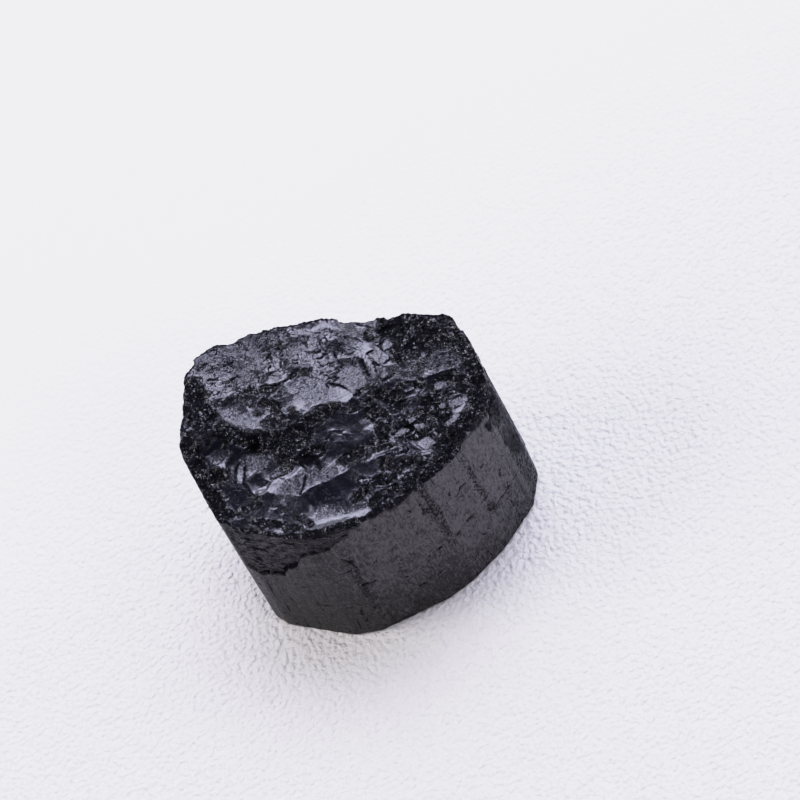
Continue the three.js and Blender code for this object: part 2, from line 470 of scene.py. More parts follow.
@dataclass(frozen=True)
class Scar:
    """One shell-shaped scar of the broken top, in millimetres.

    Attributes:
        x: its middle.
        y: its middle.
        z: its height there.
        tilt: its slope there along x and y.
        across: its half width across its heading.
        back: its half width towards the back.
        front: its half width towards the front.
        turn: its heading, in degrees.
        depth: how far its edge stands above its tilted middle plane at its half widths.
        edge: how abruptly its edge rises: 2 for a bowl, more for a flat floor with steep sides.
    """

    x: float
    y: float
    z: float
    tilt: tuple[float, float]
    across: float
    back: float
    front: float
    turn: float
    depth: float
    edge: float = 2.0

    def height(self, x: Array, y: Array) -> Array:
        """The bowl's height at each point."""
        turn = math.radians(self.turn)
        dx, dy = x - self.x, y - self.y
        u = (dx * math.cos(turn) + dy * math.sin(turn)) / self.across
        v = dy * math.cos(turn) - dx * math.sin(turn)
        v = np.where(v > 0, v / self.back, v / self.front)
        rise = np.abs(u) ** self.edge + np.abs(v) ** self.edge
        return self.z + self.tilt[0] * dx + self.tilt[1] * dy + self.depth * rise


PLATEAU = (
    Scar(-7.35, 9.15, 18.45, (0, 0.07), 4.6, 3.6, 4.2, 20, 0.28),
    Scar(-11.85, 6.65, 18.1, (0.16, 0.02), 2.4, 3.8, 3.2, 15, 0.4),
    Scar(-4.75, 10.9, 18.28, (0.05, 0.1), 1.1, 1.4, 1.2, 0, 0.25),
    Scar(-3.05, 6.85, 18.1, (0.02, 0.02), 2.2, 2.4, 2, -15, 0.2),
    Scar(0.85, 7.05, 18.12, (-0.02, 0.06), 2.8, 2.8, 2.4, -25, 0.28),
    Scar(4.45, 5.1, 17.55, (-0.34, 0.06), 1.7, 3, 2.6, 12, 0.3),
    Scar(-0.85, 2.55, 17.9, (0.02, 0.06), 2.1, 2.4, 1.9, 0, 0.26),
    Scar(-7.65, 3.35, 17.85, (-0.05, 0.02), 1.5, 1.9, 1.5, 25, 0.3),
    Scar(-4.45, 2.45, 17.88, (0.02, 0.1), 2.3, 3.4, 2, 10, 0.22),
    Scar(2.55, 1.7, 17.42, (-0.06, 0.03), 2.3, 2.4, 2.4, 10, 0.3),
    Scar(5.55, 2.35, 17.05, (-0.28, 0.02), 1.4, 2.8, 2.6, 18, 0.3),
    Scar(7.15, 3.3, 16.85, (-0.1, 0.1), 1.5, 2, 2.2, -10, 0.3),
    Scar(9.95, -0.1, 16.4, (-0.05, 0.05), 3.4, 2.2, 1.8, -24, 0.26),
    Scar(10.35, 2.85, 16.45, (0.06, 0.24), 2.2, 2.4, 1.6, -20, 0.3),
    Scar(10.6, 5.0, 17.1, (0.06, 0.12), 2.2, 1.8, 1.6, -30, 0.28),
    Scar(7.95, 5.9, 16.85, (0, 0.14), 1.6, 1.6, 1.6, -30, 0.3),
    Scar(6.3, 7.0, 16.75, (-0.05, 0.1), 1.3, 1.5, 1.5, -25, 0.35),
    Scar(12.95, 2.9, 16.85, (-0.15, 0.2), 1.2, 1.8, 2, 10, 0.3),
)
SLOPE = (
    Scar(-9.05, 0.2, 16.95, (0.02, 0.45), 1.9, 3.2, 0.9, -20, 0.3),
    Scar(-10.75, 1.3, 17, (-0.04, 0.02), 1.1, 0.8, 0.9, 0, 0.25, 4),
    Scar(-12.85, -0.3, 16.6, (0.1, 0.45), 1.6, 3.6, 1, 5, 0.3),
    Scar(-5.85, -1.95, 16.45, (0.2, 0.5), 1.5, 4, 0.9, 16, 0.3),
    Scar(-8.6, -0.9, 16.5, (-0.02, 0.03), 1.6, 1.2, 1.25, 8, 0.25, 6),
    Scar(-3.65, -3.95, 16.18, (0.03, 0.44), 2.2, 5, 0.9, 0, 0.35),
    Scar(0.75, -4.4, 16, (0.02, 0.4), 3.8, 5, 0.9, -4, 0.4),
    Scar(5.55, -2.45, 16.18, (0.02, 0.42), 2.4, 3.2, 0.7, 12, 0.3),
    Scar(10.15, -3.85, 15.85, (-0.02, 0.4), 2.4, 3.2, 0.8, -10, 0.3),
)
FLOOR = (
    Scar(-4.85, -4.9, 16.05, (-0.03, -0.03), 2.8, 1.3, 1.5, -8, 0.22),
    Scar(-11.45, -3.4, 15.8, (0.1, 0.37), 1.9, 3, 1.1, 0, 0.3),
    Scar(-8.15, -3.15, 16.08, (0, 0.37), 1.1, 1.8, 0.6, 0, 0.3),
    Scar(-9.25, -6.4, 15.55, (0.14, 0.28), 2.2, 3.4, 1.6, -35, 0.25),
    Scar(-4.2, -8.4, 15.3, (0.0, 0.38), 3, 3.8, 1.4, -20, 0.42),
    Scar(-3.75, -3.8, 15.6, (0, 0.3), 0.95, 0.85, 0.8, 0, 0.6, 4),
    Scar(0.75, -9.9, 15.45, (0, 0.37), 2, 2.6, 1.1, 0, 0.32),
    Scar(1.55, -7.55, 15.72, (0.02, 0.4), 2, 3.4, 0.9, 0, 0.28),
    Scar(3.95, -8.55, 15.5, (0.06, 0.2), 1.8, 2.6, 1.1, 30, 0.28),
    Scar(4.35, -5.25, 15.86, (0.03, 0.02), 1, 0.8, 0.7, 8, 0.2),
    Scar(6.25, -5.6, 15.8, (0.03, 0.05), 0.9, 0.8, 0.8, 8, 0.2),
    Scar(5.95, -7.4, 15.52, (0.03, -0.05), 0.9, 1, 0.9, 10, 0.2),
    Scar(5.95, -4.3, 15.9, (0.08, 0.4), 2.4, 2.6, 0.8, 16, 0.25),
    Scar(9.35, -2.95, 15.95, (-0.05, 0.1), 0.8, 0.6, 0.6, 0, 0.22),
    Scar(9.95, -5.45, 15.62, (0.05, 0.08), 1.6, 1.3, 1, 32, 0.25),
    Scar(7.75, -6.25, 15.62, (0, 0.38), 1.3, 2.4, 0.9, 10, 0.25),
    Scar(12.15, -5.25, 15.62, (0.08, 0.38), 1.4, 3, 1.2, 10, 0.25),
    Scar(-12.25, -5.6, 15.3, (0.05, 0.3), 1.6, 2.6, 1.2, 0, 0.25),
    Scar(8.35, -8.35, 15.48, (0.05, 0.37), 2.2, 2.4, 1, 30, 0.25),
)

# Marks on the top are laid out on a slanted plan: x as it is, and y pushed back as the surface
# rises, the way the steps of the top overlap when they are looked at from the front, 50 degrees up.
PLAN_LEVEL = 16.5  # the height at which the plan and the top agree, in millimetres
PLAN_SLANT = 0.839  # how far a point is pushed back for each millimetre that it rises

PLATE_WAVER = Waver(cell=0.35, seed=8)  # how the edges of the plates wander


@dataclass(frozen=True)
class Plate:
    """A small flat cleavage face that cuts across the scars, laid out on the slanted plan.

    Attributes:
        x: its middle.
        y: its middle, on the slanted plan.
        across: its half width.
        along: its half depth.
        turn: its heading, in degrees.
        tilt: its slope along x and y.
    """

    x: float
    y: float
    across: float
    along: float
    turn: float
    tilt: tuple[float, float] = (0.0, 0.0)

    def share(self, x: Array, y: Array) -> Array:
        """How much of each point belongs to the plate: its corners are squared off."""
        share = np.zeros(np.shape(x))
        near = close_to(((self.x, self.y),), 1.6 * max(self.across, self.along), x, y)
        turn = math.radians(self.turn)
        dx, dy = x[near] - self.x, y[near] - self.y
        u = (dx * math.cos(turn) + dy * math.sin(turn)) / self.across
        v = (dy * math.cos(turn) - dx * math.sin(turn)) / self.along
        edge = (np.abs(u) ** 6 + np.abs(v) ** 6) ** (1 / 6) + 0.12 * np.abs(u + v)
        edge = edge + 0.15 * PLATE_WAVER.at(x[near], y[near])
        share[near] = smooth(1.06, 0.96, edge)
        return share


@dataclass(frozen=True)
class ShellRipple:
    """Ripples round the point where a flake was struck off, laid out on the slanted plan.

    Attributes:
        x: the point's place.
        y: the point's place, on the slanted plan.
        inner: where the ripples start, in millimetres from the point.
        outer: where they end.
        wave: the distance from one ripple to the next.
        depth: how high they are.
        heading: the middle of the arc that they fill, in degrees from +X.
        spread: half the arc's angle, in degrees.
        rays: how many fine hackles cross the ripples in a whole turn, or none.
    """

    x: float
    y: float
    inner: float
    outer: float
    wave: float
    depth: float
    heading: float
    spread: float
    rays: int = 0

    def relief(self, x: Array, y: Array) -> Array:
        """The height they add at each point."""
        dx, dy = x - self.x, y - self.y
        away = np.hypot(dx, dy)
        turned = np.degrees(np.arctan2(dy, dx)) - self.heading
        turned = np.abs((turned + 180.0) % 360.0 - 180.0)
        fade = smooth(self.spread, 0.6 * self.spread, turned)
        fade = fade * smooth(self.inner - 0.3, self.inner, away)
        fade = fade * smooth(self.outer, self.outer - 0.5, away)
        rings = np.abs(np.sin(math.pi * away / self.wave))
        if self.rays:
            hackles = np.abs(np.sin(0.5 * self.rays * np.arctan2(dy, dx) + 2.0 * away))
            rings = 0.3 * rings + hackles
        return self.depth * fade * (rings - 0.6)


@dataclass
class BrokenTop:
    """The stepped, shell-fractured top of the stone.

    Attributes:
        scars: its bowls, of which the lowest at each point is the surface.
        crushed: where it is crushed to a sugary crust, on the slanted plan.
        rippled: where it carries fine curled ripples, on the slanted plan.
        frosted: where it is finely granular, on the slanted plan.
        cracks: its cracks and its raised hackles, on the slanted plan.
        ripples: its shell ripples.
        plates: its small flat faces.
        bends: how its edges wander.
        shells: the shallow scars that cover all of it.
        shell_strength: how strongly they show where it is smooth, and what ripples add to that.
        flakes: the smaller ones that lie over them.
        flake_strength: how strongly these show where it is smooth, and what ripples add to that.
        flaking: the small scars of the crushed stretches.
        pitting: the smaller scars that lie over them.
        pitting_strength: how strongly these show.
        swell: the slow unevenness of the whole top.
        swell_depth: how deep that is.
        crust: how deep the crushed stretches are.
        dark_depth: how deep a crack is where it is painted wholly dark as shade.
    """

    scars: tuple[Scar, ...] = PLATEAU + SLOPE + FLOOR
    crushed: Streaks = ()
    rippled: Streaks = ()
    frosted: Streaks = ()
    cracks: Grooves = ()
    ripples: tuple[ShellRipple, ...] = ()
    plates: tuple[Plate, ...] = ()
    bends: tuple[Bend, ...] = (Bend(1.5, 0.3, 14), Bend(0.5, 0.12, 16))
    shells: Flaking = Flaking(cell=1.9, tilt=0.13, bowl=0.13, seed=18, seam=0.11)
    shell_strength: tuple[float, float] = (0.35, 0.4)
    flakes: Flaking = Flaking(cell=0.8, tilt=0.14, bowl=0.16, seed=19, seam=0.05)
    flake_strength: tuple[float, float] = (0.12, 0.5)
    flaking: Flaking = Flaking(cell=1.0, tilt=0.95, bowl=0.4, seed=11)
    pitting: Flaking = Flaking(cell=0.42, tilt=1.1, bowl=0.5, seed=12)
    pitting_strength: float = 0.6
    swell: Waver = Waver(cell=1.6, seed=13)
    swell_depth: float = 0.04
    crust: float = 0.45
    dark_depth: float = 0.1

    def bent(self, x: Array, y: Array) -> tuple[Array, Array]:
        """Where the wandering of the edges pushes each point."""
        for bend in self.bends:
            x, y = bend.at(x, y)
        return x, y

    def scarred(self, x: Array, y: Array) -> Array:
        """The height of the main scars alone at each point."""
        x, y = self.bent(x, y)
        lowest = np.full(np.shape(x), np.inf)
        for scar in self.scars:
            lowest = np.minimum(lowest, scar.height(x, y))
        return lowest

    @staticmethod
    def slanted(y: Array, z: Array) -> Array:
        """The second coordinate of each point on the slanted plan."""
        return y + PLAN_SLANT * (z - PLAN_LEVEL)

    def shaped(self, x: Array, y: Array) -> tuple[Array, dict[Mark, Array]]:
        """Work out the finished top.

        Args:
            x: the points' place.
            y: the points' place.

        Returns:
            Each point's height, how crushed, rippled and frosted it is, and how deep in a crack,
            which is painted as shade.
        """
        z = self.scarred(x, y)
        v = self.slanted(y, z)
        bent_x, bent_y = self.bent(x, y)
        bent_v = v + bent_y - y
        crushed = strongest(self.crushed, bent_x, bent_v)
        frosted = strongest(self.frosted, bent_x, bent_v) * (1 - crushed)
        rippled = strongest(self.rippled, bent_x, bent_v) * (1 - 0.8 * crushed)
        z = z + self.swell_depth * self.swell.at(x, v)
        plain, added = self.shell_strength
        z = z + self.shells.at(bent_x, bent_y) * (plain + added * rippled)
        plain, added = self.flake_strength
        z = z + self.flakes.at(bent_x, bent_y) * (plain + added * rippled)
        crumbs = self.flaking.at(bent_x, bent_y) + self.pitting_strength * self.pitting.at(x, y)
        z = z + self.crust * crushed * (crumbs - crumbs.mean())
        near_x, near_v = self.bends[-1].at(x, v)
        relief = sum(crack.relief(near_x, near_v) for crack in self.cracks)
        deep = np.clip(relief / -self.dark_depth, 0.0, 1.0)
        z = z + relief
        for plate in self.plates:
            share = plate.share(x, v)
            inside = share > 0.5
            if not inside.any():
                log.info("a plate at %g, %g lies outside the top", plate.x, plate.y)
                continue
            middle = [np.mean(a[inside]) for a in (x, y, z)]
            level = middle[2] + plate.tilt[0] * (x - middle[0]) + plate.tilt[1] * (y - middle[1])
            z = z * (1 - share) + level * share
            crushed, frosted = crushed * (1 - 0.95 * share), np.maximum(frosted, 0.5 * share)
            rippled, deep = rippled * (1 - 0.6 * share), deep * (1 - share)
        z = z + sum(ripple.relief(x, v) for ripple in self.ripples)
        return z, {
            Mark.CRUSHED: crushed,
            Mark.RIPPLED: rippled,
            Mark.FROSTED: frosted,
            Mark.DEEP: deep,
        }


# --- The wall and the base ---


@dataclass(frozen=True)
class Chip:
    """A round bite out of the wall.

    Attributes:
        at: its distance along the wall from the outline's first corner.
        z: its height.
        radius: the radius of the ball that fits it.
        bite: how deep it is.
    """

    at: float
    z: float
    radius: float
    bite: float

    def inset(self, along: Array, rise: Array) -> Array:
        """How far it cuts into the wall at each point."""
        away = (along - self.at) ** 2 + (rise - self.z) ** 2
        reach = np.sqrt(np.maximum(self.radius**2 - away, 0.0))
        return np.maximum(reach - (self.radius - self.bite), 0.0)


@dataclass(frozen=True)
class SkinBreak:
    """The ragged line above which the prism's outer skin has flaked off.

    Attributes:
        line: the corners of the line: distance along the wall and height.
        depth: the skin's thickness.
        jags: how the line wanders.
        nicks: how it wanders more finely.
    """

    line: Points
    depth: float
    jags: Waver = Waver(cell=0.8, seed=31)
    nicks: Waver = Waver(cell=0.27, seed=32)

    def lost(self, along: Array, rise: Array) -> Array:
        """How much of the skin is lost at each point, from 0 to 1."""
        start, end = self.line[0][0], self.line[-1][0]
        edge = np.interp(along, [p[0] for p in self.line], [p[1] for p in self.line])
        edge = edge + 0.22 * self.jags.at(along) + 0.12 * self.nicks.at(along)
        inside = smooth(start - 0.2, start + 0.2, along) * smooth(end + 0.2, end - 0.2, along)
        return inside * smooth(-0.13, 0.13, rise - edge)


@dataclass
class Wall:
    """The long striated faces of the prism.

    Attributes:
        corners: the outline's corners, anticlockwise seen from above.
        rounding: how far the corners are eased.
        flute_width: the usual width of a flute.
        flute_depth: its depth.
        drift: how the flutes wander as they run up.
        drift_reach: how far they wander.
        fading: where they fade.
        sway: the slow unevenness of the whole wall.
        sway_depth: how deep that is.
        bevel: how far the base's edge is bevelled back.
        bevel_height: how high that bevel reaches.
        breaks: where the skin has flaked.
        floor: the unevenness of the wall under the skin.
        chips: its round chips.
        cracks: its cracks, as distance along the wall and height.
        dark_depth: how deep a crack is where it is painted wholly dark as shade.
        crushed: where it is crushed.
        crumbs: the small scars of those stretches.
        crust: how deep they are.
        smudges: where it is painted dark and pitted: painted shade along its foot, and darker bands
            and patches up its faces.
        paler: how much lighter its skin is painted at some distances along it: painted light on the
            faces that the lamps light more.
        wander: how the edges of its crushed stretches wander.
    """

    corners: Points
    rounding: float = 0.28
    flute_width: float = 1.3
    flute_depth: float = 0.06
    drift: Waver = Waver(cell=5.0, seed=41)
    drift_reach: float = 0.35
    fading: Waver = Waver(cell=2.3, seed=42)
    sway: Waver = Waver(cell=3.1, seed=43)
    sway_depth: float = 0.04
    bevel: float = 0.2
    bevel_height: float = 0.3
    breaks: tuple[SkinBreak, ...] = ()
    floor: Waver = Waver(cell=1.1, seed=44)
    chips: tuple[Chip, ...] = ()
    cracks: Grooves = ()
    dark_depth: float = 0.08
    crushed: Streaks = ()
    crumbs: Flaking = Flaking(cell=0.5, tilt=0.7, bowl=0.6, seed=45)
    crust: float = 0.45
    smudges: Streaks = ()
    paler: Points = ((0.0, 0.0),)
    wander: Bend = Bend(0.8, 0.4, 33)

    def outline(self, count: int) -> tuple[Array, Array, Array]:
        """Walk round the outline in even steps.

        Args:
            count: how many points to place.

        Returns:
            The points, the directions that face out of the wall there, and the distances walked.
        """
        ring = np.array((*self.corners, self.corners[0]), float)
        gone = np.concatenate(([0.0], np.cumsum(np.hypot(*np.diff(ring, axis=0).T))))
        walked = np.arange(count) * gone[-1] / count
        points = np.stack([np.interp(walked, gone, ring[:, k]) for k in (0, 1)], axis=1)
        reach = np.minimum(walked, gone[-1] - walked)
        weight = np.exp(-0.5 * (reach / self.rounding) ** 2)
        weight = np.fft.fft(weight / weight.sum())
        eased = [np.fft.ifft(np.fft.fft(points[:, k]) * weight).real for k in (0, 1)]
        points = np.stack(eased, axis=1)
        ahead = np.roll(points, -1, axis=0) - np.roll(points, 1, axis=0)
        ahead /= np.linalg.norm(ahead, axis=1)[:, None]
        return points, np.stack([ahead[:, 1], -ahead[:, 0]], axis=1), walked

    def inset(self, along: Array, rise: Array) -> tuple[Array, dict[Mark, Array]]:
        """Work out how far the wall is cut back.

        Args:
            along: the points' distance along the outline.
            rise: their height.

        Returns:
            Each point's depth below the plain prism, how satin, flaked and crushed it is, how much
            lighter it is painted as light, and how far it is painted dark as shade in a crack or
            patch.
        """
        drift = self.drift_reach * self.drift.at(along, rise)
        ridge = np.abs(np.sin(math.pi * (along + drift) / self.flute_width))
        depth = self.flute_depth * (1.0 - ridge) * (0.5 + 0.5 * self.fading.at(along, rise / 6))
        depth = depth + self.sway_depth * (1 + self.sway.at(along, rise / 2))
        lost = np.zeros(np.shape(along))
        for broken in self.breaks:
            share = broken.lost(along, rise)
            depth = depth + share * broken.depth * (0.8 + 0.3 * self.floor.at(along, rise))
            lost = np.maximum(lost, share)
        for chip in self.chips:
            depth = depth + chip.inset(along, rise)
        relief = sum(crack.relief(along, rise) for crack in self.cracks)
        deep = np.clip(relief / -self.dark_depth, 0.0, 1.0)
        depth = depth - relief
        crushed = strongest(self.crushed, *self.wander.at(along, rise))
        depth = depth + self.crust * crushed * (0.12 - self.crumbs.at(along, rise))
        foot = np.clip(1.0 - rise / self.bevel_height, 0.0, 1.0)
        return depth + self.bevel * foot**1.6, {
            Mark.SATIN: (1 - lost) * (1 - crushed),
            Mark.FLAKED: lost,
            Mark.CRUSHED: crushed,
            Mark.PALE: self._painted_light_at(along, rise),
            Mark.DEEP: np.maximum(deep, strongest(self.smudges, along, rise)),
        }

    def _painted_light_at(self, along: Array, rise: Array) -> Array:
        """The painted light on the skin at each point, for its brighter faces, with painted shade
        near the base.
        """
        share = np.interp(along, [p[0] for p in self.paler], [p[1] for p in self.paler])
        return share * (0.35 + 0.65 * smooth(1.0, 10.0, rise))


@dataclass
class Rim:
    """The crumbled edge between the wall and the broken top.

    Attributes:
        reach: how far in the edge is crushed, at some distances along the outline.
        drop: how far the edge has crumbled down the wall, as a share of that reach.
        slope: how steeply the crumbled band falls outwards.
        crumbs: the small scars that it is made of.
        crumb_depth: how strongly they show.
        swells: how its reach varies.
        nicks: how it varies more finely.
    """

    reach: Points = ((0.0, 0.9),)
    drop: float = 0.55
    slope: float = 1.05
    crumbs: Flaking = Flaking(cell=0.6, tilt=0.8, bowl=0.4, seed=21)
    crumb_depth: float = 0.3
    swells: Waver = Waver(cell=1.9, seed=22)
    nicks: Waver = Waver(cell=0.5, seed=23)

    def worn(self, along: Array) -> Array:
        """How far in the edge is crushed at each distance along the outline."""
        reach = np.interp(along, [p[0] for p in self.reach], [p[1] for p in self.reach])
        return reach * (1.0 + 0.35 * self.swells.at(along) + 0.25 * self.nicks.at(along))

    def lowered(self, inward: Array, along: Array) -> Array:
        """How far the crumbled band falls at each point, from its distance in and along."""
        return np.maximum(self.drop * self.worn(along) - self.slope * inward, 0.0)

    def crushed(self, inward: Array, along: Array) -> Array:
        """How crushed each point of the top is by its nearness to the edge."""
        return smooth(1.2, 0.8, inward / self.worn(along))


@dataclass
class Base:
    """The broken base: flat where it stands, with low hollows inside.

    Attributes:
        swell: where the hollows are.
        swell_depth: how deep they are.
        shells: the shallow scars that break them up.
        shell_depth: how strongly these show.
        flat: how far out the hollows start to fade, as a share of the way to the edge.
        crushed: how crushed the base is.
        rippled: how rippled it is.
        frosted: how finely granular it is.
    """

    swell: Waver = Waver(cell=4.2, seed=51)
    swell_depth: float = 0.35
    shells: Flaking = Flaking(cell=2.4, tilt=0.12, bowl=0.2, seed=52)
    shell_depth: float = 0.4
    flat: float = 0.9
    crushed: float = 0.35
    rippled: float = 0.6
    frosted: float = 0.5

    def raised(self, x: Array, y: Array, share: Array) -> Array:
        """How far the hollows rise from the flat that the stone stands on.

        Args:
            x: the points' place.
            y: the points' place.
            share: how far out they are, from 0 in the middle to 1 at the edge.

        Returns:
            Each point's height.
        """
        hollows = self.swell_depth * np.maximum(self.swell.at(x, y), 0.0)
        hollows = hollows - self.shell_depth * self.shells.at(x, y)
        return np.maximum(hollows, 0.0) * smooth(1.0, self.flat, share)

    def carried(self) -> dict[Mark, float]:
        """What each of its points carries."""
        return {
            Mark.CRUSHED: self.crushed,
            Mark.RIPPLED: self.rippled,
            Mark.FROSTED: self.frosted,
        }


# --- Fine relief that repeats over the surface ---


@dataclass(frozen=True)
class Relief:
    """The fine relief, laid over the stone by a node tree with these sizes as its inputs.

    Attributes:
        grain_size: the size of the grains where the stone is crushed, in millimetres.
        grain_depth: their slope, as a share of their size.
        curl_size: the size of the curls in the rippled break.
        curl_depth: the depth of the lines between them.
        stria_width: the width of the fine striations of the skin.
        stria_depth: their depth.
        split_length: the length of the short splits in the flaked wall.
        split_depth: their depth.
    """

    grain_size: float = 0.34
    grain_depth: float = 0.25
    curl_size: float = 0.8
    curl_depth: float = 0.022
    stria_width: float = 0.2
    stria_depth: float = 0.014
    split_length: float = 0.8
    split_depth: float = 0.07

    def inputs(self) -> dict[str, float]:
        """The tree's named inputs, such as "Grain Size" for grain_size, and their values."""
        return {name.replace("_", " ").title(): size for name, size in asdict(self).items()}

    def tree(self, finish: bpy.types.Material) -> bpy.types.NodeTree:
        """Build the node tree.

        Args:
            finish: the material that it gives the stone.

        Returns:
            The tree: a geometry and the sizes go in, and the stone with its relief comes out.
        """
        tree = bpy.data.node_groups.new("stone_relief", "GeometryNodeTree")
        face = tree.interface
        face.new_socket(name="Geometry", in_out="OUTPUT", socket_type="NodeSocketGeometry")
        face.new_socket(name="Geometry", in_out="INPUT", socket_type="NodeSocketGeometry")
        for name in self.inputs():
            face.new_socket(name=name, in_out="INPUT", socket_type="NodeSocketFloat")
        graph = Graph(tree)
        given = graph.node("NodeGroupInput")
        mark = {m: self._mark(graph, m) for m in Mark}
        place = graph.scaled(graph.node("GeometryNodeInputPosition"), 1.0 / MM)
        lift = self._grains(graph, given, place) * mark[Mark.CRUSHED]
        lift = lift + self._curls(graph, given, place) * mark[Mark.RIPPLED]
        lift = lift + self._striae(graph, given, place, mark[Mark.ALONG]) * mark[Mark.SATIN]
        lift = lift + self._splits(graph, given, place, mark[Mark.ALONG]) * mark[Mark.FLAKED]
        offset = graph.scaled(graph.node("GeometryNodeInputNormal"), lift * MM)
        inputs = {"Geometry": given.outputs["Geometry"], "Offset": offset}
        moved = graph.node("GeometryNodeSetPosition", inputs=inputs)
        whole = graph.node("GeometryNodeRealizeInstances", inputs={"Geometry": moved})
        inputs = {"Geometry": whole, "Material": finish}
        dressed = graph.node("GeometryNodeSetMaterial", inputs=inputs)
        graph.node("NodeGroupOutput", inputs={"Geometry": dressed})
        return tree

    @staticmethod
    def _mark(graph: Graph, mark: Mark) -> Value:
        """What the mesh knows about the point that is moved."""
        kind, inputs = {"data_type": "FLOAT"}, {"Name": mark.value}
        node = graph.node("GeometryNodeInputNamedAttribute", kind, inputs)
        return graph.value(node, "Attribute")

    @staticmethod
    def _grains(graph: Graph, given: Node, place: Socket) -> Value:
        """Broken grains: each is a small face tilted its own way."""
        size = graph.value(given, "Grain Size")
        faces = graph.facets(graph.scaled(place, 1.0 / size), 1.0) * size
        return faces * graph.value(given, "Grain Depth") * 2.0

    @staticmethod
    def _curls(graph: Graph, given: Node, place: Socket) -> Value:
        """Curled lines, like the ripples of a shell break, over a slow swell."""
        cells = graph.scaled(place, 1.0 / graph.value(given, "Curl Size"))
        level = graph.noise(cells, 0.8, 2.5, 0.5, 1.4)
        lines = 1.0 - ((level * 7.0).math("FRACT") - 0.5).math("ABSOLUTE") * 2.0
        lines = lines ** 5.0 * (0.3 + level)
        return ((level - 0.5) * 2.2 - lines) * graph.value(given, "Curl Depth")

    @staticmethod
    def _striae(graph: Graph, given: Node, place: Socket, along: Value) -> Value:
        """Fine striations that run up the prism's skin."""
        plan = {"X": along / graph.value(given, "Stria Width"), "Y": graph.height_of(place) * 0.12}
        cells = graph.node("ShaderNodeCombineXYZ", inputs=plan)
        level = graph.noise(cells, 0.5, 3.0, 0.6, space="2D")
        return (level - 0.5) * graph.value(given, "Stria Depth") * 2.0

    @staticmethod
    def _splits(graph: Graph, given: Node, place: Socket, along: Value) -> Value:
        """Short level splits where the skin has gone."""
        plan = {"X": along / graph.value(given, "Split Length"), "Y": graph.height_of(place) * 4.5}
        cells = graph.node("ShaderNodeCombineXYZ", inputs=plan)
        level = graph.noise(cells, 1.0, 2.5, 0.6, 0.3, "2D")
        return ((level - 0.5) * 0.8 - level.ramp(0.42, 0.36)) * graph.value(given, "Split Depth")


# --- Finishes ---


@dataclass(frozen=True)
class Cuts:
    """One kind of the wall's thin cracks, drawn along the levels of a stretched noise.

    Attributes:
        across: how fast the noise changes along the wall: slowly for level cracks.
        up: how fast it changes with height: slowly for upright cracks.
        detail: how ragged the cracks are.
        least: the level of a second noise above which they show.
    """

    across: float
    up: float
    detail: float
    least: float


class Spot:
    """The point of the stone that is shaded, and the patterns that are read there.

    Attributes:
        graph: the material's graph.
        place: where the point is.
        curled: the same place pushed aside, so that what is laid out on it curls.
        marks: what the mesh knows about it, from 0 to 1.
        along: its distance along the outline, in millimetres.
    """

    def __init__(self, graph: Graph) -> None:
        """Read the point.

        Args:
            graph: the material's graph.
        """
        self.graph = graph
        self.place = graph.node("ShaderNodeTexCoord").outputs["Object"]
        read = {mark: self._mark(mark) for mark in Mark}
        self.along = read.pop(Mark.ALONG)
        self.marks = {mark: value.clamped() for mark, value in read.items()}
        inputs = {"Vector": self.place, "Scale": 1.0 / (0.9 * MM), "Detail": 1.0}
        push = graph.node("ShaderNodeTexNoise", {"noise_dimensions": "3D"}, inputs)
        swing = graph.vector("SUBTRACT", push.outputs["Color"], (0.5, 0.5, 0.5))
        swing = graph.vector("MULTIPLY", swing, (1.2 * MM, 1.2 * MM, 1.2 * MM))
        self.curled = graph.vector("ADD", self.place, swing)

    def _mark(self, mark: Mark) -> Value:
        """One thing that the mesh knows about the point."""
        node = self.graph.node("ShaderNodeAttribute", {"attribute_name": mark.value})
        return self.graph.value(node, "Fac")

    def noise(
        self, size: float, detail: float, roughness: float = 0.5, twist: float = 0.0
    ) -> Value:
        """A soft noise whose swells have a size in millimetres."""
        return self.graph.noise(self.place, 1.0 / (size * MM), detail, roughness, twist)

    def seams(self, at: Socket, size: float) -> Value:
        """1 in the thin seams between the faces of that size, and 0 on them."""
        kind = {"voronoi_dimensions": "3D", "feature": "DISTANCE_TO_EDGE"}
        inputs = {"Vector": at, "Scale": 1.0 / (size * MM)}
        cell = self.graph.node("ShaderNodeTexVoronoi", kind, inputs)
        return self.graph.value(cell, "Distance").ramp(0.05, 0.025)

    def unrolled(self, across: float, up: float) -> Node:
        """The point on the wall laid out flat, stretched by two factors."""
        rise = self.graph.height_of(self.place)
        plan = {"X": self.along * across, "Y": rise * (up / MM)}
        return self.graph.node("ShaderNodeCombineXYZ", inputs=plan)

    def mixed(self, share: Value, first: Any, second: Any) -> Socket:
        """A colour that goes from the first to the second."""
        inputs = {"Factor": share, "A": first, "B": second}
        mixed = self.graph.node("ShaderNodeMix", {"data_type": "RGBA"}, inputs)
        return self.graph.pick(mixed.outputs, "Result")


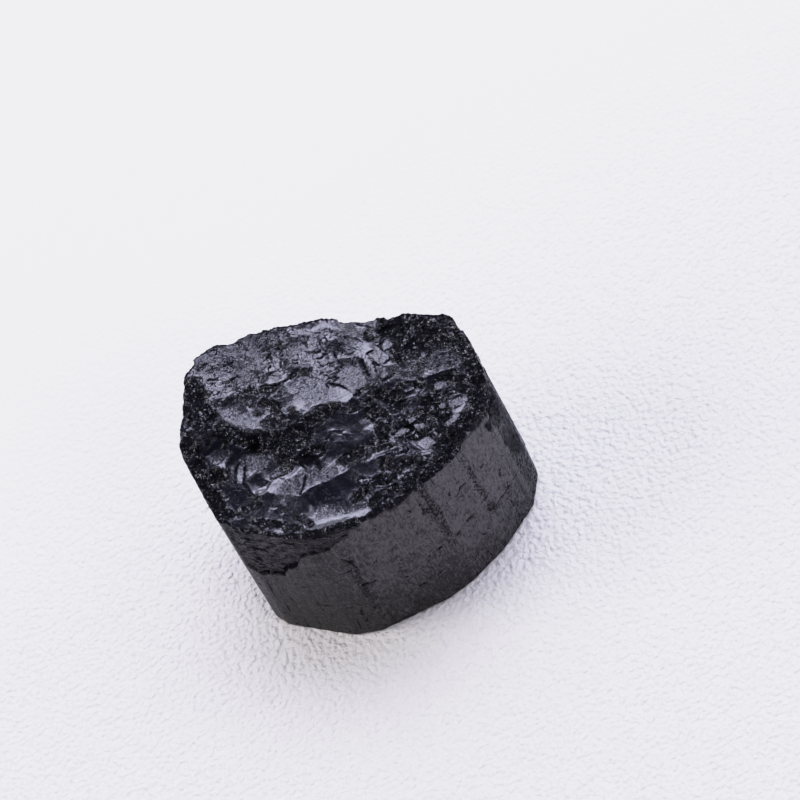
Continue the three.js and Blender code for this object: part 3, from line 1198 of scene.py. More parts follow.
@dataclass(frozen=True)
class TourmalineFinish:
    """Black tourmaline: glassy where it broke, satin on its skin, sugary where it is crushed.

    Attributes:
        glass: the colour of the glassy break.
        crust: the colour of the crushed crust.
        powder: the colour of the powdery pale edges of its crumbs, painted bright as their glints:
            painted highlights.
        skin: the colour of the striated skin.
        dust: its colour where it is scuffed pale, and where it is painted lighter as light.
        ior: the refractive index.
        tint: the cool tint of its reflections.
        glass_roughness: the roughness of the glassy break.
        frost_roughness: the roughness of its frosted stretches.
        crust_roughness: the roughness of the crust.
        skin_roughness: the roughness of the skin.
        painted_shade_roughness: the roughness of the black painted shade inside its cracks and
            pockets.
        patches: how much the roughness of the break varies.
        skin_patches: how much the roughness of the skin varies.
        skin_shine: how strongly the skin shines; 0.5 is as strongly as the break.
        flaked_skin: how much of the skin's finish the flaked wall keeps.
        rippled_powder: how much of those painted glints the rippled break has.
        scuff_patches: how strongly the pale scuffing follows the stone's slow patches.
        scuff_flecks: how strongly it follows its fine flecks.
        scuff_level: how pale the skin is everywhere; below zero it is mostly bare.
        shard: the usual distance between the shards of the rippled break, in millimetres.
        shard_stretch: how much closer they lie in each direction.
        cuts: the thin cracks of the wall: level ones, upright ones, and some that wander.
    """

    glass: tuple[float, float, float] = (0.003, 0.003, 0.005)
    crust: tuple[float, float, float] = (0.007, 0.006, 0.005)
    powder: tuple[float, float, float] = (0.26, 0.255, 0.27)
    skin: tuple[float, float, float] = (0.006, 0.0055, 0.0065)
    dust: tuple[float, float, float] = (0.078, 0.073, 0.08)
    ior: float = 1.6
    tint: tuple[float, float, float] = (0.84, 0.84, 1.0)
    glass_roughness: float = 0.16
    frost_roughness: float = 0.33
    crust_roughness: float = 0.09
    skin_roughness: float = 0.46
    painted_shade_roughness: float = 0.9
    patches: float = 0.2
    skin_patches: float = 0.4
    skin_shine: float = 0.22
    flaked_skin: float = 0.8
    rippled_powder: float = 0.3
    scuff_patches: float = 2.2
    scuff_flecks: float = 4.2
    scuff_level: float = -0.27
    shard: float = 0.85
    shard_stretch: tuple[float, float, float] = (1.0, 0.65, 1.0)
    cuts: tuple[Cuts, ...] = (
        Cuts(across=0.26, up=1.5, detail=2.0, least=0.55),
        Cuts(across=1.6, up=0.13, detail=2.0, least=0.54),
        Cuts(across=0.55, up=0.55, detail=3.0, least=0.57),
    )

    def material(self) -> bpy.types.Material:
        """Build the material."""
        material, graph = new_material("black_tourmaline")
        spot = Spot(graph)
        crushed, rippled = spot.marks[Mark.CRUSHED], spot.marks[Mark.RIPPLED]
        cuts = self._wall_cuts(spot)
        bump = self._grain(spot, cuts)
        uneven = spot.noise(1.1, 5.0, 0.7) - 0.5
        # Thin pale edges round the dark pockets: painted glints of the crumbs.
        edges = self._glint_edges(spot) * uneven.ramp(-0.04, 0.04)
        edges = edges * (crushed + rippled * self.rippled_powder).clamped()
        painted_shade = self._painted_shade_mask(spot, cuts) * (1.0 - edges)
        broken = self._broken(spot, uneven, edges, bump)
        skin = self._skin(spot, uneven, bump)
        # Painted shade: a black shader that reflects nothing, laid into cracks, pockets, splits,
        # specks and dark patches.
        dark = {"Base Color": (*self.glass, 1.0), "Roughness": self.painted_shade_roughness}
        dark["Specular IOR Level"] = 0.0
        painted_shade_shader = graph.node("ShaderNodeBsdfPrincipled", inputs=dark)
        skinned = spot.marks[Mark.SATIN] + spot.marks[Mark.FLAKED] * self.flaked_skin
        whole = graph.node("ShaderNodeMixShader", inputs={0: skinned, 1: broken, 2: skin})
        shader = graph.node("ShaderNodeMixShader", inputs={0: painted_shade, 1: whole, 2: painted_shade_shader})
        graph.node("ShaderNodeOutputMaterial", inputs={"Surface": shader})
        return material

    def _broken(self, spot: Spot, uneven: Value, edges: Value, bump: Node) -> Node:
        """The shader of the break: glassy, frosted or crushed, with thin pale edges painted on as
        glints.
        """
        crushed = spot.marks[Mark.CRUSHED]
        frost = self.frost_roughness - self.glass_roughness
        rough = self.glass_roughness + spot.marks[Mark.FROSTED] * frost
        rough = rough + crushed * (self.crust_roughness - rough)
        body = spot.mixed(crushed, (*self.glass, 1.0), (*self.crust, 1.0))
        inputs = {
            "Base Color": spot.mixed(edges, body, (*self.powder, 1.0)),
            "Roughness": rough + uneven * self.patches,
            "IOR": self.ior,
            "Specular Tint": (*self.tint, 1.0),
            "Normal": bump,
        }
        return spot.graph.node("ShaderNodeBsdfPrincipled", inputs=inputs)

    def _skin(self, spot: Spot, uneven: Value, bump: Node) -> Node:
        """The shader of the satin skin, scuffed pale in patches and flecks, with painted light on
        its brighter faces.
        """
        streaked = spot.graph.vector("MULTIPLY", spot.place, (1.0, 1.0, 0.4))
        fine = spot.graph.noise(streaked, 1.0 / (0.22 * MM), 3.0, 0.7) - 0.5
        # The pale mix holds random scuffing and the painted light of the brighter faces, darker
        # near the base.
        scuffs_and_light = uneven * self.scuff_patches + fine * self.scuff_flecks + self.scuff_level
        scuffs_and_light = (scuffs_and_light + spot.marks[Mark.PALE]).clamped()
        inputs = {
            "Base Color": spot.mixed(scuffs_and_light, (*self.skin, 1.0), (*self.dust, 1.0)),
            "Roughness": self.skin_roughness + uneven * self.skin_patches,
            "IOR": self.ior,
            "Specular IOR Level": self.skin_shine,
            "Normal": bump,
        }
        return spot.graph.node("ShaderNodeBsdfPrincipled", inputs=inputs)

    @staticmethod
    def _glint_edges(spot: Spot) -> Value:
        """1 on the thin pale edges that curl through the crust, painted glints, and 0 between them.
        """
        lines = spot.noise(0.75, 2.0, 0.5, 1.5).lines(6.0, 0.74)
        return lines * spot.noise(0.6, 1.0).ramp(0.5, 0.56)

    @staticmethod
    def _splits(spot: Spot) -> Value:
        """1 in the level splits of the flaked wall, painted dark as shade, and 0 between them."""
        level = spot.graph.noise(spot.unrolled(1.3, 5.5), 1.0, 4.0, 0.65, 0.4, "2D")
        return level.ramp(0.49, 0.43)

    def _wall_cuts(self, spot: Spot) -> Value:
        """1 in the thin cracks of the wall, and 0 between them."""
        found = None
        for cut in self.cuts:
            flat = spot.unrolled(cut.across, cut.up)
            level = spot.graph.noise(flat, 0.9, cut.detail, 0.55, 0.6, "2D")
            gaps = spot.graph.noise(flat, 1.7, cut.detail, 0.55, 0.6, "2D")
            line = level.lines(3.0, 0.88) * gaps.ramp(cut.least, cut.least + 0.08)
            found = line if found is None else found.math("MAXIMUM", line)
        return found

    def _painted_shade_mask(self, spot: Spot, cuts: Value) -> Value:
        """Find where shade is painted: the cracks, pockets, splits, specks and dark patches that
        are laid black.

        Args:
            spot: the point that is shaded.
            cuts: the thin cracks of the wall.

        Returns:
            How much of each point is painted dark as shade.
        """
        rippled, satin = spot.marks[Mark.RIPPLED], spot.marks[Mark.SATIN]
        gaps = spot.noise(0.8, 1.0)
        pockets = spot.noise(0.27, 3.0, 0.65, 1.0)
        specks = spot.noise(0.22, 2.0, 0.6)
        shards = spot.graph.vector("MULTIPLY", spot.curled, self.shard_stretch)
        seams = spot.seams(shards, self.shard) * gaps.ramp(0.52, 0.44)
        lines = spot.noise(1.3, 2.5, 0.5, 1.2).lines(8.0, 0.82) * gaps.ramp(0.46, 0.53)
        lines = lines.math("MAXIMUM", seams) * (rippled * 0.9 + 0.12) * (1.0 - satin)
        scored = (cuts * 0.85).math("MAXIMUM", specks.ramp(0.36, 0.3) * 0.8)
        painted_shade = (spot.marks[Mark.DEEP] * 1.1 + (pockets - 0.5) * 2.6).ramp(0.4, 0.8) * 0.92
        for dark in (
            lines,
            pockets.ramp(0.58, 0.54) * spot.marks[Mark.CRUSHED] * 0.95,
            self._splits(spot) * spot.marks[Mark.FLAKED] * 0.85,
            scored * satin,
        ):
            painted_shade = painted_shade.math("MAXIMUM", dark)
        return painted_shade.clamped()

    def _grain(self, spot: Spot, cuts: Value) -> Node:
        """Add the grain and the hairline cracks that are too fine for the mesh.

        Args:
            spot: the point that is shaded.
            cuts: the thin cracks of the wall.

        Returns:
            The Bump node.
        """
        graph, marks = spot.graph, spot.marks
        crushed, rippled, frosted = marks[Mark.CRUSHED], marks[Mark.RIPPLED], marks[Mark.FROSTED]
        satin, flaked = marks[Mark.SATIN], marks[Mark.FLAKED]
        shards = graph.vector("MULTIPLY", spot.curled, self.shard_stretch)
        strokes = graph.vector("MULTIPLY", spot.curled, (0.8, 1.6, 1.6))
        layers = (
            (shards, self.shard, rippled * 0.22 + 0.03),
            (shards, 0.38, rippled * 0.2 + flaked * 0.5 + 0.03),
            (strokes, 0.3, crushed * 1.6),
            (strokes, 0.14, crushed * 1.6 + flaked * 0.6 + rippled * 0.14 + satin * 0.3 + 0.02),
            (spot.place, 0.09, frosted * 0.7 + satin * 0.6 + flaked * 0.5 + rippled * 0.1 + 0.06),
        )
        first, *others = (
            graph.facets(at, 1.0 / (size * MM)) * strength for at, size, strength in layers
        )
        height = sum(others, first) - cuts * satin * (0.02 * MM)
        inputs = {"Strength": 1.0, "Distance": 1.0, "Height": height}
        return graph.node("ShaderNodeBump", inputs=inputs)


@dataclass(frozen=True)
class TableFinish:
    """A pale table with a fine pressed grain that wears smooth towards the back.

    Attributes:
        colour: the table's colour.
        roughness: its roughness.
        grain: the usual distance between the grain's lumps, in millimetres.
        relief: how high they stand.
        wear: how far behind the stone's middle the grain starts to fade, and where it is gone.
    """

    colour: tuple[float, float, float] = (0.8, 0.79, 0.89)
    roughness: float = 0.55
    grain: float = 0.6
    relief: float = 0.25
    wear: tuple[float, float] = (5.0, 45.0)

    def material(self) -> bpy.types.Material:
        """Build the material."""
        material, graph = new_material("pale_table")
        place = graph.node("ShaderNodeTexCoord").outputs["Object"]
        cells = graph.node(
            "ShaderNodeTexVoronoi",
            {"voronoi_dimensions": "2D", "feature": "SMOOTH_F1"},
            {"Vector": place, "Scale": 1.0 / (self.grain * MM), "Smoothness": 0.8},
        )
        noise = graph.noise(place, 1.3 / (self.grain * MM), 2.0, space="2D")
        lumps = (noise - graph.value(cells, "Distance") * 0.8) * (self.relief * MM)
        depth = graph.value(graph.node("ShaderNodeSeparateXYZ", inputs={0: place}), "Y")
        start, end = self.wear
        lumps = lumps * depth.ramp(end * MM, start * MM)
        inputs = {"Strength": 1.0, "Distance": 1.0, "Height": lumps}
        bump = graph.node("ShaderNodeBump", inputs=inputs)
        look = {"Base Color": (*self.colour, 1.0), "Roughness": self.roughness, "Normal": bump}
        shader = graph.node("ShaderNodeBsdfPrincipled", inputs=look)
        graph.node("ShaderNodeOutputMaterial", inputs={"Surface": shader})
        return material


# --- The stone ---


@dataclass
class Stone:
    """The whole stone.

    Attributes:
        top: its broken top.
        wall: its wall.
        rim: the crumbled edge between the two.
        base: its broken base.
        rings: how many rings of points its top and its base have.
        rows: how many rows of points its wall has.
        budget: how many triangles the finished mesh may have.
        crease: the angle between two faces above which their edge is sharp, in degrees.
    """

    top: BrokenTop
    wall: Wall
    rim: Rim = field(default_factory=Rim)
    base: Base = field(default_factory=Base)
    rings: int = 138
    rows: int = 150
    budget: int = 196_000
    crease: float = 38.0

    def build(self, finish: bpy.types.Material, relief: Relief) -> bpy.types.Object:
        """Build the stone as one closed mesh.

        Args:
            finish: its material.
            relief: its fine relief.

        Returns:
            The finished object.
        """
        points, quads, marks = self._surface()
        mesh = bpy.data.meshes.new("tourmaline_rough")
        mesh.from_pydata((points * MM).tolist(), [], quads.tolist())
        for mark, values in marks.items():
            layer = mesh.attributes.new(mark.value, "FLOAT", "POINT")
            layer.data.foreach_set("value", values.astype(np.float32))
        rough = bpy.data.objects.new("tourmaline_rough", mesh)
        bpy.context.scene.collection.objects.link(rough)
        self._lay_relief(rough, finish, relief)
        thinned = rough.modifiers.new("thinned", "DECIMATE")
        thinned.ratio = self.budget / (2 * len(quads))
        depsgraph = bpy.context.evaluated_depsgraph_get()
        final = bpy.data.meshes.new_from_object(
            rough.evaluated_get(depsgraph), preserve_all_data_layers=True, depsgraph=depsgraph
        )
        bpy.data.objects.remove(rough)
        final.name = "black_tourmaline"
        self._keep_in_box(final)
        final.shade_smooth()
        final.set_sharp_from_angle(angle=math.radians(self.crease))
        stone = bpy.data.objects.new("black_tourmaline", final)
        bpy.context.scene.collection.objects.link(stone)
        return stone

    @staticmethod
    def _lay_relief(stone: bpy.types.Object, finish: bpy.types.Material, relief: Relief) -> None:
        """Lay the fine relief over the stone with a geometry nodes modifier."""
        tree = relief.tree(finish)
        laid = stone.modifiers.new("relief", "NODES")
        laid.node_group = tree
        sizes = relief.inputs()
        for item in tree.interface.items_tree:
            if item.in_out == "INPUT" and item.name in sizes:
                laid[item.identifier] = sizes[item.name]

    @staticmethod
    def _keep_in_box(mesh: bpy.types.Mesh) -> None:
        """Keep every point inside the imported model's box."""
        places = np.zeros(3 * len(mesh.vertices), np.float32)
        mesh.vertices.foreach_get("co", places)
        low, high = (np.array(corner, np.float32) for corner in CAD_BOX)
        mesh.vertices.foreach_set("co", np.clip(places.reshape(-1, 3), low, high).ravel())
        mesh.update()

    def _rings(self) -> tuple[Array, Array]:
        """Number the points of a square grid by ring.

        Returns:
            For each point of the grid, how far out its ring is, from 0 in the middle to 1 at the
            edge, and its place along the outline, counted in columns.
        """
        size = 2 * self.rings
        i, j = np.meshgrid(np.arange(size + 1), np.arange(size + 1), indexing="ij")
        ring = np.minimum.reduce([i, j, size - i, size - j])
        side = size - 2 * ring
        sides = [
            (j == ring) & (i < size - ring),
            (i == size - ring) & (j < size - ring),
            (j == size - ring) & (i > ring),
        ]
        places = [i - ring, side + j - ring, 2 * side + size - ring - i]
        place = np.select(sides, places, 3 * side + size - ring - j)
        return side / size, place * size / np.maximum(side, 1)

    def _surface(self) -> tuple[Array, Array, dict[Mark, Array]]:
        """Lay out the stone's skin.

        Returns:
            Its points in millimetres, its quads, and what each point carries.
        """
        size = 2 * self.rings
        columns = 4 * size
        outline, out, walked = self.wall.outline(columns)
        middle = outline.mean(axis=0)
        share, place = self._rings()

        rim_z = self.top.scarred(*outline.T) - self.rim.drop
        edge = outline - out * self.wall.inset(walked, rim_z)[0][:, None]
        foot = outline - out * self.wall.inset(walked, 0 * walked)[0][:, None]

        def spread(ring: Array) -> Array:
            """Values on the outline carried to each grid point's place along it."""
            first = np.floor(place).astype(int) % columns
            part = (place - np.floor(place))[..., None]
            ring = ring.reshape(columns, -1)
            return ring[first] * (1 - part) + ring[(first + 1) % columns] * part

        reach = share[..., None]
        top_xy = middle + reach * (spread(edge) - middle)
        base_xy = middle + reach * (spread(foot) - middle)
        facing, along = spread(out), spread(walked)[..., 0]
        inward = (1 - share) * np.sum((spread(edge) - middle) * facing, axis=-1)

        z, carried = self.top.shaped(top_xy[..., 0], top_xy[..., 1])
        near = self.rim.crushed(inward, along)
        crumbs = self.rim.crumbs.at(top_xy[..., 0], top_xy[..., 1])
        fresh = near * (1 - carried[Mark.CRUSHED]) * smooth(-0.1, 0.5, inward)
        z = z - self.rim.lowered(inward, along)
        z = z + self.rim.crumb_depth * fresh * crumbs
        base_z = self.base.raised(base_xy[..., 0], base_xy[..., 1], share)

        grid = np.arange((size + 1) ** 2).reshape(size + 1, size + 1)
        ring0 = self._edge_of(grid)
        rows = np.arange(1, self.rows)[:, None] / self.rows
        rise = z.ravel()[ring0][None, :] * (1 - rows)
        walked_rows = np.broadcast_to(walked, rise.shape)
        # These marks of the wall include its painted light and its painted shade.
        inset, worn = self.wall.inset(walked_rows, rise)
        wall_xy = outline[None] - out[None] * inset[..., None]

        points = np.concatenate([
            np.dstack([top_xy, z]).reshape(-1, 3),
            np.dstack([wall_xy, rise]).reshape(-1, 3),
            np.dstack([base_xy, base_z]).reshape(-1, 3),
        ])
        count = grid.size
        wall_ids = count + np.arange(rise.size).reshape(rise.shape)
        base_grid = grid + count + rise.size
        quads = np.concatenate([
            self._cells(grid),
            self._cells(base_grid)[:, ::-1],
            self._bands(np.vstack([ring0, wall_ids, self._edge_of(base_grid)])),
        ])
        carried[Mark.CRUSHED] = np.maximum(carried[Mark.CRUSHED], near)
        for mark in (Mark.RIPPLED, Mark.FROSTED):
            carried[mark] = carried[mark] * (1 - near)
        marks = {
            mark: np.concatenate([
                np.ravel(carried.get(mark, np.zeros(count))),
                np.ravel(worn.get(mark, np.zeros(rise.size))),
                np.full(count, self.base.carried().get(mark, 0.0)),
            ])
            for mark in Mark
        }
        marks[Mark.ALONG] = np.concatenate([along.ravel(), walked_rows.ravel(), along.ravel()])
        return points, quads, marks

    @staticmethod
    def _edge_of(grid: Array) -> Array:
        """The numbers of a grid's outer points, anticlockwise."""
        return np.concatenate([grid[:-1, 0], grid[-1, :-1], grid[:0:-1, -1], grid[0, :0:-1]])

    @staticmethod
    def _cells(grid: Array) -> Array:
        """The quads of a grid, facing up."""
        corners = [grid[:-1, :-1], grid[1:, :-1], grid[1:, 1:], grid[:-1, 1:]]
        return np.stack([corner.ravel() for corner in corners], axis=1)

    @staticmethod
    def _bands(rows: Array) -> Array:
        """The quads between rows of points that each run round the stone, facing out."""
        after = np.roll(rows, -1, axis=1)
        corners = [rows[:-1], rows[1:], after[1:], after[:-1]]
        return np.stack([corner.ravel() for corner in corners], axis=1)


# --- The studio ---


@dataclass(frozen=True)
class Softbox:
    """A soft light that points at the stone.

    Attributes:
        name: what it is called.
        azimuth: where it stands, in degrees from +Y towards +X.
        elevation: how high, in degrees.
        distance: how far away, in metres.
        size: its width and height, in metres.
        radiance: how bright its face is.
        colour: its colour.
        mirrored: whether polished faces mirror it.
        brightens: whether it brightens the table and dull faces.
    """

    name: str
    azimuth: float
    elevation: float
    distance: float
    size: tuple[float, float]
    radiance: float
    colour: tuple[float, float, float]
    mirrored: bool = True
    brightens: bool = True

    def place(self, target: Vector) -> None:
        """Set it up, pointing at the target."""
        light = bpy.data.lights.new(self.name, "AREA")
        light.shape = "RECTANGLE"
        light.size, light.size_y = self.size
        light.energy = self.radiance * math.pi * self.size[0] * self.size[1]
        light.color = self.colour
        a, e = math.radians(self.azimuth), math.radians(self.elevation)
        away = Vector((math.sin(a) * math.cos(e), math.cos(a) * math.cos(e), math.sin(e)))
        lamp = bpy.data.objects.new(self.name, light)
        lamp.location = target + away * self.distance
        lamp.rotation_mode = "QUATERNION"
        lamp.rotation_quaternion = away.to_track_quat("Z", "Y")
        lamp.visible_camera = False
        lamp.visible_glossy = self.mirrored
        lamp.visible_diffuse = self.brightens
        bpy.context.scene.collection.objects.link(lamp)


@dataclass(frozen=True)
class Film:
    """How the camera shows brightness: as it is in the darks, and rolled off in the lights.

    Attributes:
        rolloff: pairs of a brightness in the scene and the brightness that it is shown with.
    """

    rolloff: Points = (
        (0.0, 0.0), (0.3, 0.3), (0.6, 0.54), (1.0, 0.73), (1.4, 0.82), (2.0, 0.885), (4.0, 0.95),
    )

    def load(self) -> None:
        """Put it in the camera: set the scene's view transform and its curve."""
        view = bpy.context.scene.view_settings
        view.view_transform = "Standard"
        view.use_curve_mapping = True
        mapping = view.curve_mapping
        mapping.clip_max_x = self.rolloff[-1][0]
        points = mapping.curves[3].points
        points[0].location, points[1].location = self.rolloff[0], self.rolloff[-1]
        for place in self.rolloff[1:-1]:
            points.new(*place)
        for point in points:
            point.handle_type = "AUTO_CLAMPED"
        mapping.update()


@dataclass(frozen=True)
class Studio:
    """The pale table, the soft lights and the camera.

    Attributes:
        lights: the soft lights.
        target: how high above the table the lights point, in millimetres.
        film: how the camera shows brightness.
        ambient: how bright the rest of the room is.
        backdrop: how bright it looks behind the table.
        table: how wide the table is, in metres.
        aim: the point that the camera looks at, in millimetres.
        distance: how far away the camera is, in millimetres.
        elevation: how high it stands, in degrees.
        roll: how far it is turned about its own axis, in degrees.
        lens: its focal length, in millimetres.
        sensor: the width of its sensor, in millimetres.
        clip: how near and how far it sees, in metres.
    """

    lights: tuple[Softbox, ...]
    target: float = 8.0
    film: Film = Film()
    ambient: tuple[float, float, float] = (0.06, 0.06, 0.11)
    backdrop: tuple[float, float, float] = (1.85, 1.8, 2.3)
    table: float = 3.0
    aim: tuple[float, float, float] = (5.582, 2.317, 10.616)
    distance: float = 500.0
    elevation: float = 50.0
    roll: float = -29.1
    lens: float = 256.4
    sensor: float = 36.0
    clip: tuple[float, float] = (0.01, 10.0)

    def set_up(self, finish: bpy.types.Material) -> None:
        """Set the studio up.

        Args:
            finish: the table's material.
        """
        self._lay_table(finish)
        self._light_room()
        for light in self.lights:
            light.place(Vector((0.0, 0.0, self.target * MM)))
        self._place_camera()
        self.film.load()

    def _lay_table(self, finish: bpy.types.Material) -> None:
        """Lay the table's top under the stone."""
        half = self.table / 2
        mesh = bpy.data.meshes.new("table")
        corners = [(-half, -half, 0), (half, -half, 0), (half, half, 0), (-half, half, 0)]
        mesh.from_pydata(corners, [], [(0, 1, 2, 3)])
        mesh.materials.append(finish)
        table = bpy.data.objects.new("table", mesh)
        bpy.context.scene.collection.objects.link(table)

    def _light_room(self) -> None:
        """Fill the room with a dim, even light, and show it pale behind the table."""
        world = bpy.data.worlds.new("room")
        world.use_nodes = True
        world.node_tree.nodes.clear()
        graph = Graph(world.node_tree)
        seen = graph.node("ShaderNodeLightPath").outputs["Is Camera Ray"]
        dim = graph.node("ShaderNodeBackground", inputs={"Color": (*self.ambient, 1.0)})
        pale = graph.node("ShaderNodeBackground", inputs={"Color": (*self.backdrop, 1.0)})
        mixed = graph.node("ShaderNodeMixShader", inputs={0: seen, 1: dim, 2: pale})
        graph.node("ShaderNodeOutputWorld", inputs={"Surface": mixed})
        bpy.context.scene.world = world

    def _place_camera(self) -> None:
        """Place the camera above the front of the stone."""
        lens = bpy.data.cameras.new("camera")
        lens.lens = self.lens
        lens.sensor_width = self.sensor
        lens.clip_start, lens.clip_end = self.clip
        camera = bpy.data.objects.new("camera", lens)
        e = math.radians(self.elevation)
        back = Vector((0.0, -math.cos(e), math.sin(e)))
        roll = Matrix.Rotation(math.radians(self.roll), 3, "Z")
        turned = back.to_track_quat("Z", "Y").to_matrix() @ roll
        place = (Vector(self.aim) + back * self.distance) * MM
        camera.matrix_world = Matrix.Translation(place) @ turned.to_4x4()
        bpy.context.scene.collection.objects.link(camera)
        bpy.context.scene.camera = camera


# --- This stone ---
# Marks on its top are placed on the slanted plan. Marks on its wall are placed by their distance
# along the outline from its first corner, and their height.

CORNERS: Points = (
    (-13.35, -3.8), (-12.65, -5.4), (-7.85, -10.1), (-5.65, -11.05), (0.9, -11.55), (3.4, -11.15),
    (7.2, -9.75), (11.45, -7.1), (13.15, -4.2), (13.45, -0.3), (13.25, 2.2), (12.45, 3.8),
    (9.05, 5.9), (4.05, 8.2), (-1.95, 10.4), (-6.45, 11.55), (-8.45, 11.35), (-10.25, 10.1),
    (-12.75, 4.7), (-13.4, 2.9), (-13.45, 1.3),
)

# Crushed stretches of the top: a sugary crust, whose pockets are painted as shade and whose edges
# are painted as glints.
CRUSHED = (
    Streak(((-12.75, 4.2), (-11.95, 7.2), (-10.85, 10.2)), 1.5),
    Streak(((-9.95, 7.2), (-10.15, 5.2)), 1.2),
    Streak(((-9.75, 10.7), (-9.45, 8.7)), 0.8),
    Streak(((-12.85, 3.2), (-12.75, -0.8), (-12.45, -4.3)), 0.9),
    Streak(((-12.25, 0.4), (-10.95, -0.5)), 0.8),
    Streak(((-9.6, 4.8), (-8.7, 3.3), (-7.7, 2)), 0.9),
    Streak(((-4.8, 4.7), (-4.2, 3.3), (-3.3, 2)), 0.6, 0.85),
    Streak(((-5.2, 2.4), (-3.4, 1.3)), 0.7, 0.8),
    Streak(((-5.2, 5.2), (-3.2, 5)), 0.65, 0.35),
    Streak(((-6.3, 6.5), (-5.6, 5.6), (-5.3, 4.9)), 0.55, 0.6),
    Streak(((2.4, 0.45), (4.2, 0.5), (4.8, 0.4)), 0.22, 0.7),
    Streak(((-5.7, 6.9), (-4.9, 6.3), (-3.4, 5.75)), 0.35, 0.85),
    Streak(((-1.4, 5.75), (-0.6, 5.55), (0, 5.2)), 0.4, 0.7),
    Streak(((-5.6, 4.1), (-5.4, 3.8)), 0.35, 0.6),
    Streak(((-9.6, 8), (-9.3, 5.6), (-9.3, 4.4)), 0.8),
    Streak(((-1.5, 9.7), (-0.4, 9.2)), 0.6, 0.5),
    Streak(((-8.9, 7.2), (-7.2, 6.9)), 0.5, 0.6),
    Streak(((-1.2, -5.4), (2.8, -5.2)), 0.6, 0.9),
    Streak(((-7, -3.3), (-5.4, -3.2)), 0.45, 0.6),
    Streak(((-1.7, -9.7), (-0.5, -9.3), (1.8, -9.5)), 0.6, 0.95),
    Streak(((9.6, -7.6), (11.6, -6.6)), 0.6),
    Streak(((3.4, -9), (5.2, -9.6)), 0.5),
    Streak(((-11.6, -4.9), (-9.6, -4.8)), 0.5, 0.8),
    Streak(((9.3, 5), (9, 1.6)), 0.9),
    Streak(((-6.75, 0.7), (-3.65, -0.6), (-4.95, -1.8)), 1.5),
    Streak(((-2.95, 0.2), (0.05, 0.4)), 0.9),
    Streak(((-3.95, -2.6), (-2.45, -3)), 0.7),
    Streak(((3.05, -2), (3.75, -3.6), (2.75, -4.8)), 0.8),
    Streak(((4.35, -0.8), (5.05, -1.8), (5.35, -3.1)), 0.8),
    Streak(((7.95, 0.7), (12.55, -2.3)), 1, 0.35),
    Streak(((5.2, 0.9), (6.8, 0.7), (8.2, -0.6)), 0.7, 0.35),
    Streak(((1.5, -0.6), (3.1, -0.9)), 0.5, 0.85),
    Streak(((8.05, 5.2), (12.35, 3.7)), 1.3),
    Streak(((8.35, 2.7), (12.05, 1.2)), 1.6, 0.9),
    Streak(((6.05, 5.5), (7.55, 5)), 0.5),
    Streak(((7.1, 2.4), (7.3, 1.4)), 0.5),
    Streak(((12.55, 0.2), (12.75, -3.8), (12.35, -7.8)), 0.9),
    Streak(((5.05, -6), (7.85, -5.8), (7.35, -8.8)), 1.6),
    Streak(((11.05, -4.3), (12.05, -6.8)), 1),
    Streak(((7.55, -4), (10.55, -2.8)), 0.7),
    Streak(((2.05, -8.3), (4.05, -9.8), (6.05, -10.3)), 0.9, 0.8),
    Streak(((-10.4, -6.5), (-9.3, -8), (-7.9, -9.3)), 0.55, 0.9),
    Streak(((-7, -8.6), (-6.2, -9.7)), 0.35, 0.8),
    Streak(((-0.7, -11.2), (1.4, -11), (3.6, -10.7)), 0.75, 0.95),
    Streak(((8.2, -4.5), (10.4, -4.7)), 0.35, 0.85),
    Streak(((-0.6, -6.2), (3, -6.3)), 0.35, 0.7),
    Streak(((5.85, -1.3), (7.85, -1.8)), 0.6),
)
RIPPLED = (
    Streak(((-8.45, 10.2), (-5.45, 11.2), (-0.45, 9.7)), 2.3),
    Streak(((-6.95, 8), (-3.45, 8.4), (0.55, 7.4), (4.05, 6.2)), 1.8),
    Streak(((1.05, 4.7), (3.55, 2.2)), 1.5, 0.9),
    Streak(((-7.85, 5), (-6.65, 3.4)), 1.1, 0.35),
    Streak(((-1.45, 3.8), (-0.25, 3)), 1.3, 0.3),
    Streak(((5.15, 2.8), (6.95, 3.4)), 1, 0.35),
    Streak(((-9.45, -5.3), (-7.45, -7.3)), 1.5, 0.35),
    Streak(((-9.75, -1.4), (-7.95, -0.6)), 1, 0.5),
    Streak(((-6.45, -5), (-1.45, -5.6)), 0.9, 0.65),
    Streak(((-1.95, -2.8), (2.55, -2.8)), 1.2, 0.25),
    Streak(((8.55, -0.3), (12.05, -1.6)), 1, 0.95),
    Streak(((4.4, 1.4), (6.6, 0.6), (7.9, 0.2)), 1, 0.9),
    Streak(((-0.45, -6.8), (1.55, -8.8)), 1.5, 0.4),
)
FROSTED = (
    Streak(((-7.85, 4.8), (-5.95, 2.8)), 1.2, 0.5),
    Streak(((-1.45, 3.8), (0.15, 2.6)), 1.6, 0.5),
    Streak(((-6.95, 11.7), (-4.45, 11.2), (-4.95, 8.7)), 1.9, 0.6),
    Streak(((-1.75, 10.7), (-0.75, 8.5)), 1.2, 0.6),
    Streak(((-6.75, -5.2), (-2.95, -5.7)), 0.9),
    Streak(((-4.95, -9.4), (-2.75, -10.5), (-0.75, -10.8)), 0.6),
    Streak(((-8.95, -0.3), (-7.5, -1.2)), 1),
    Streak(((-10.65, 1.9), (-10.1, 1.5)), 0.8),
    Streak(((3, 3.2), (3.2, 1.6)), 1.3, 0.6),
    Streak(((7.8, 0.1), (10.4, -0.6), (12.6, -1.7)), 0.9, 0.6),
    Streak(((4.4, 1.4), (6.6, 0.2), (7.6, -0.6)), 0.8, 0.8),
)
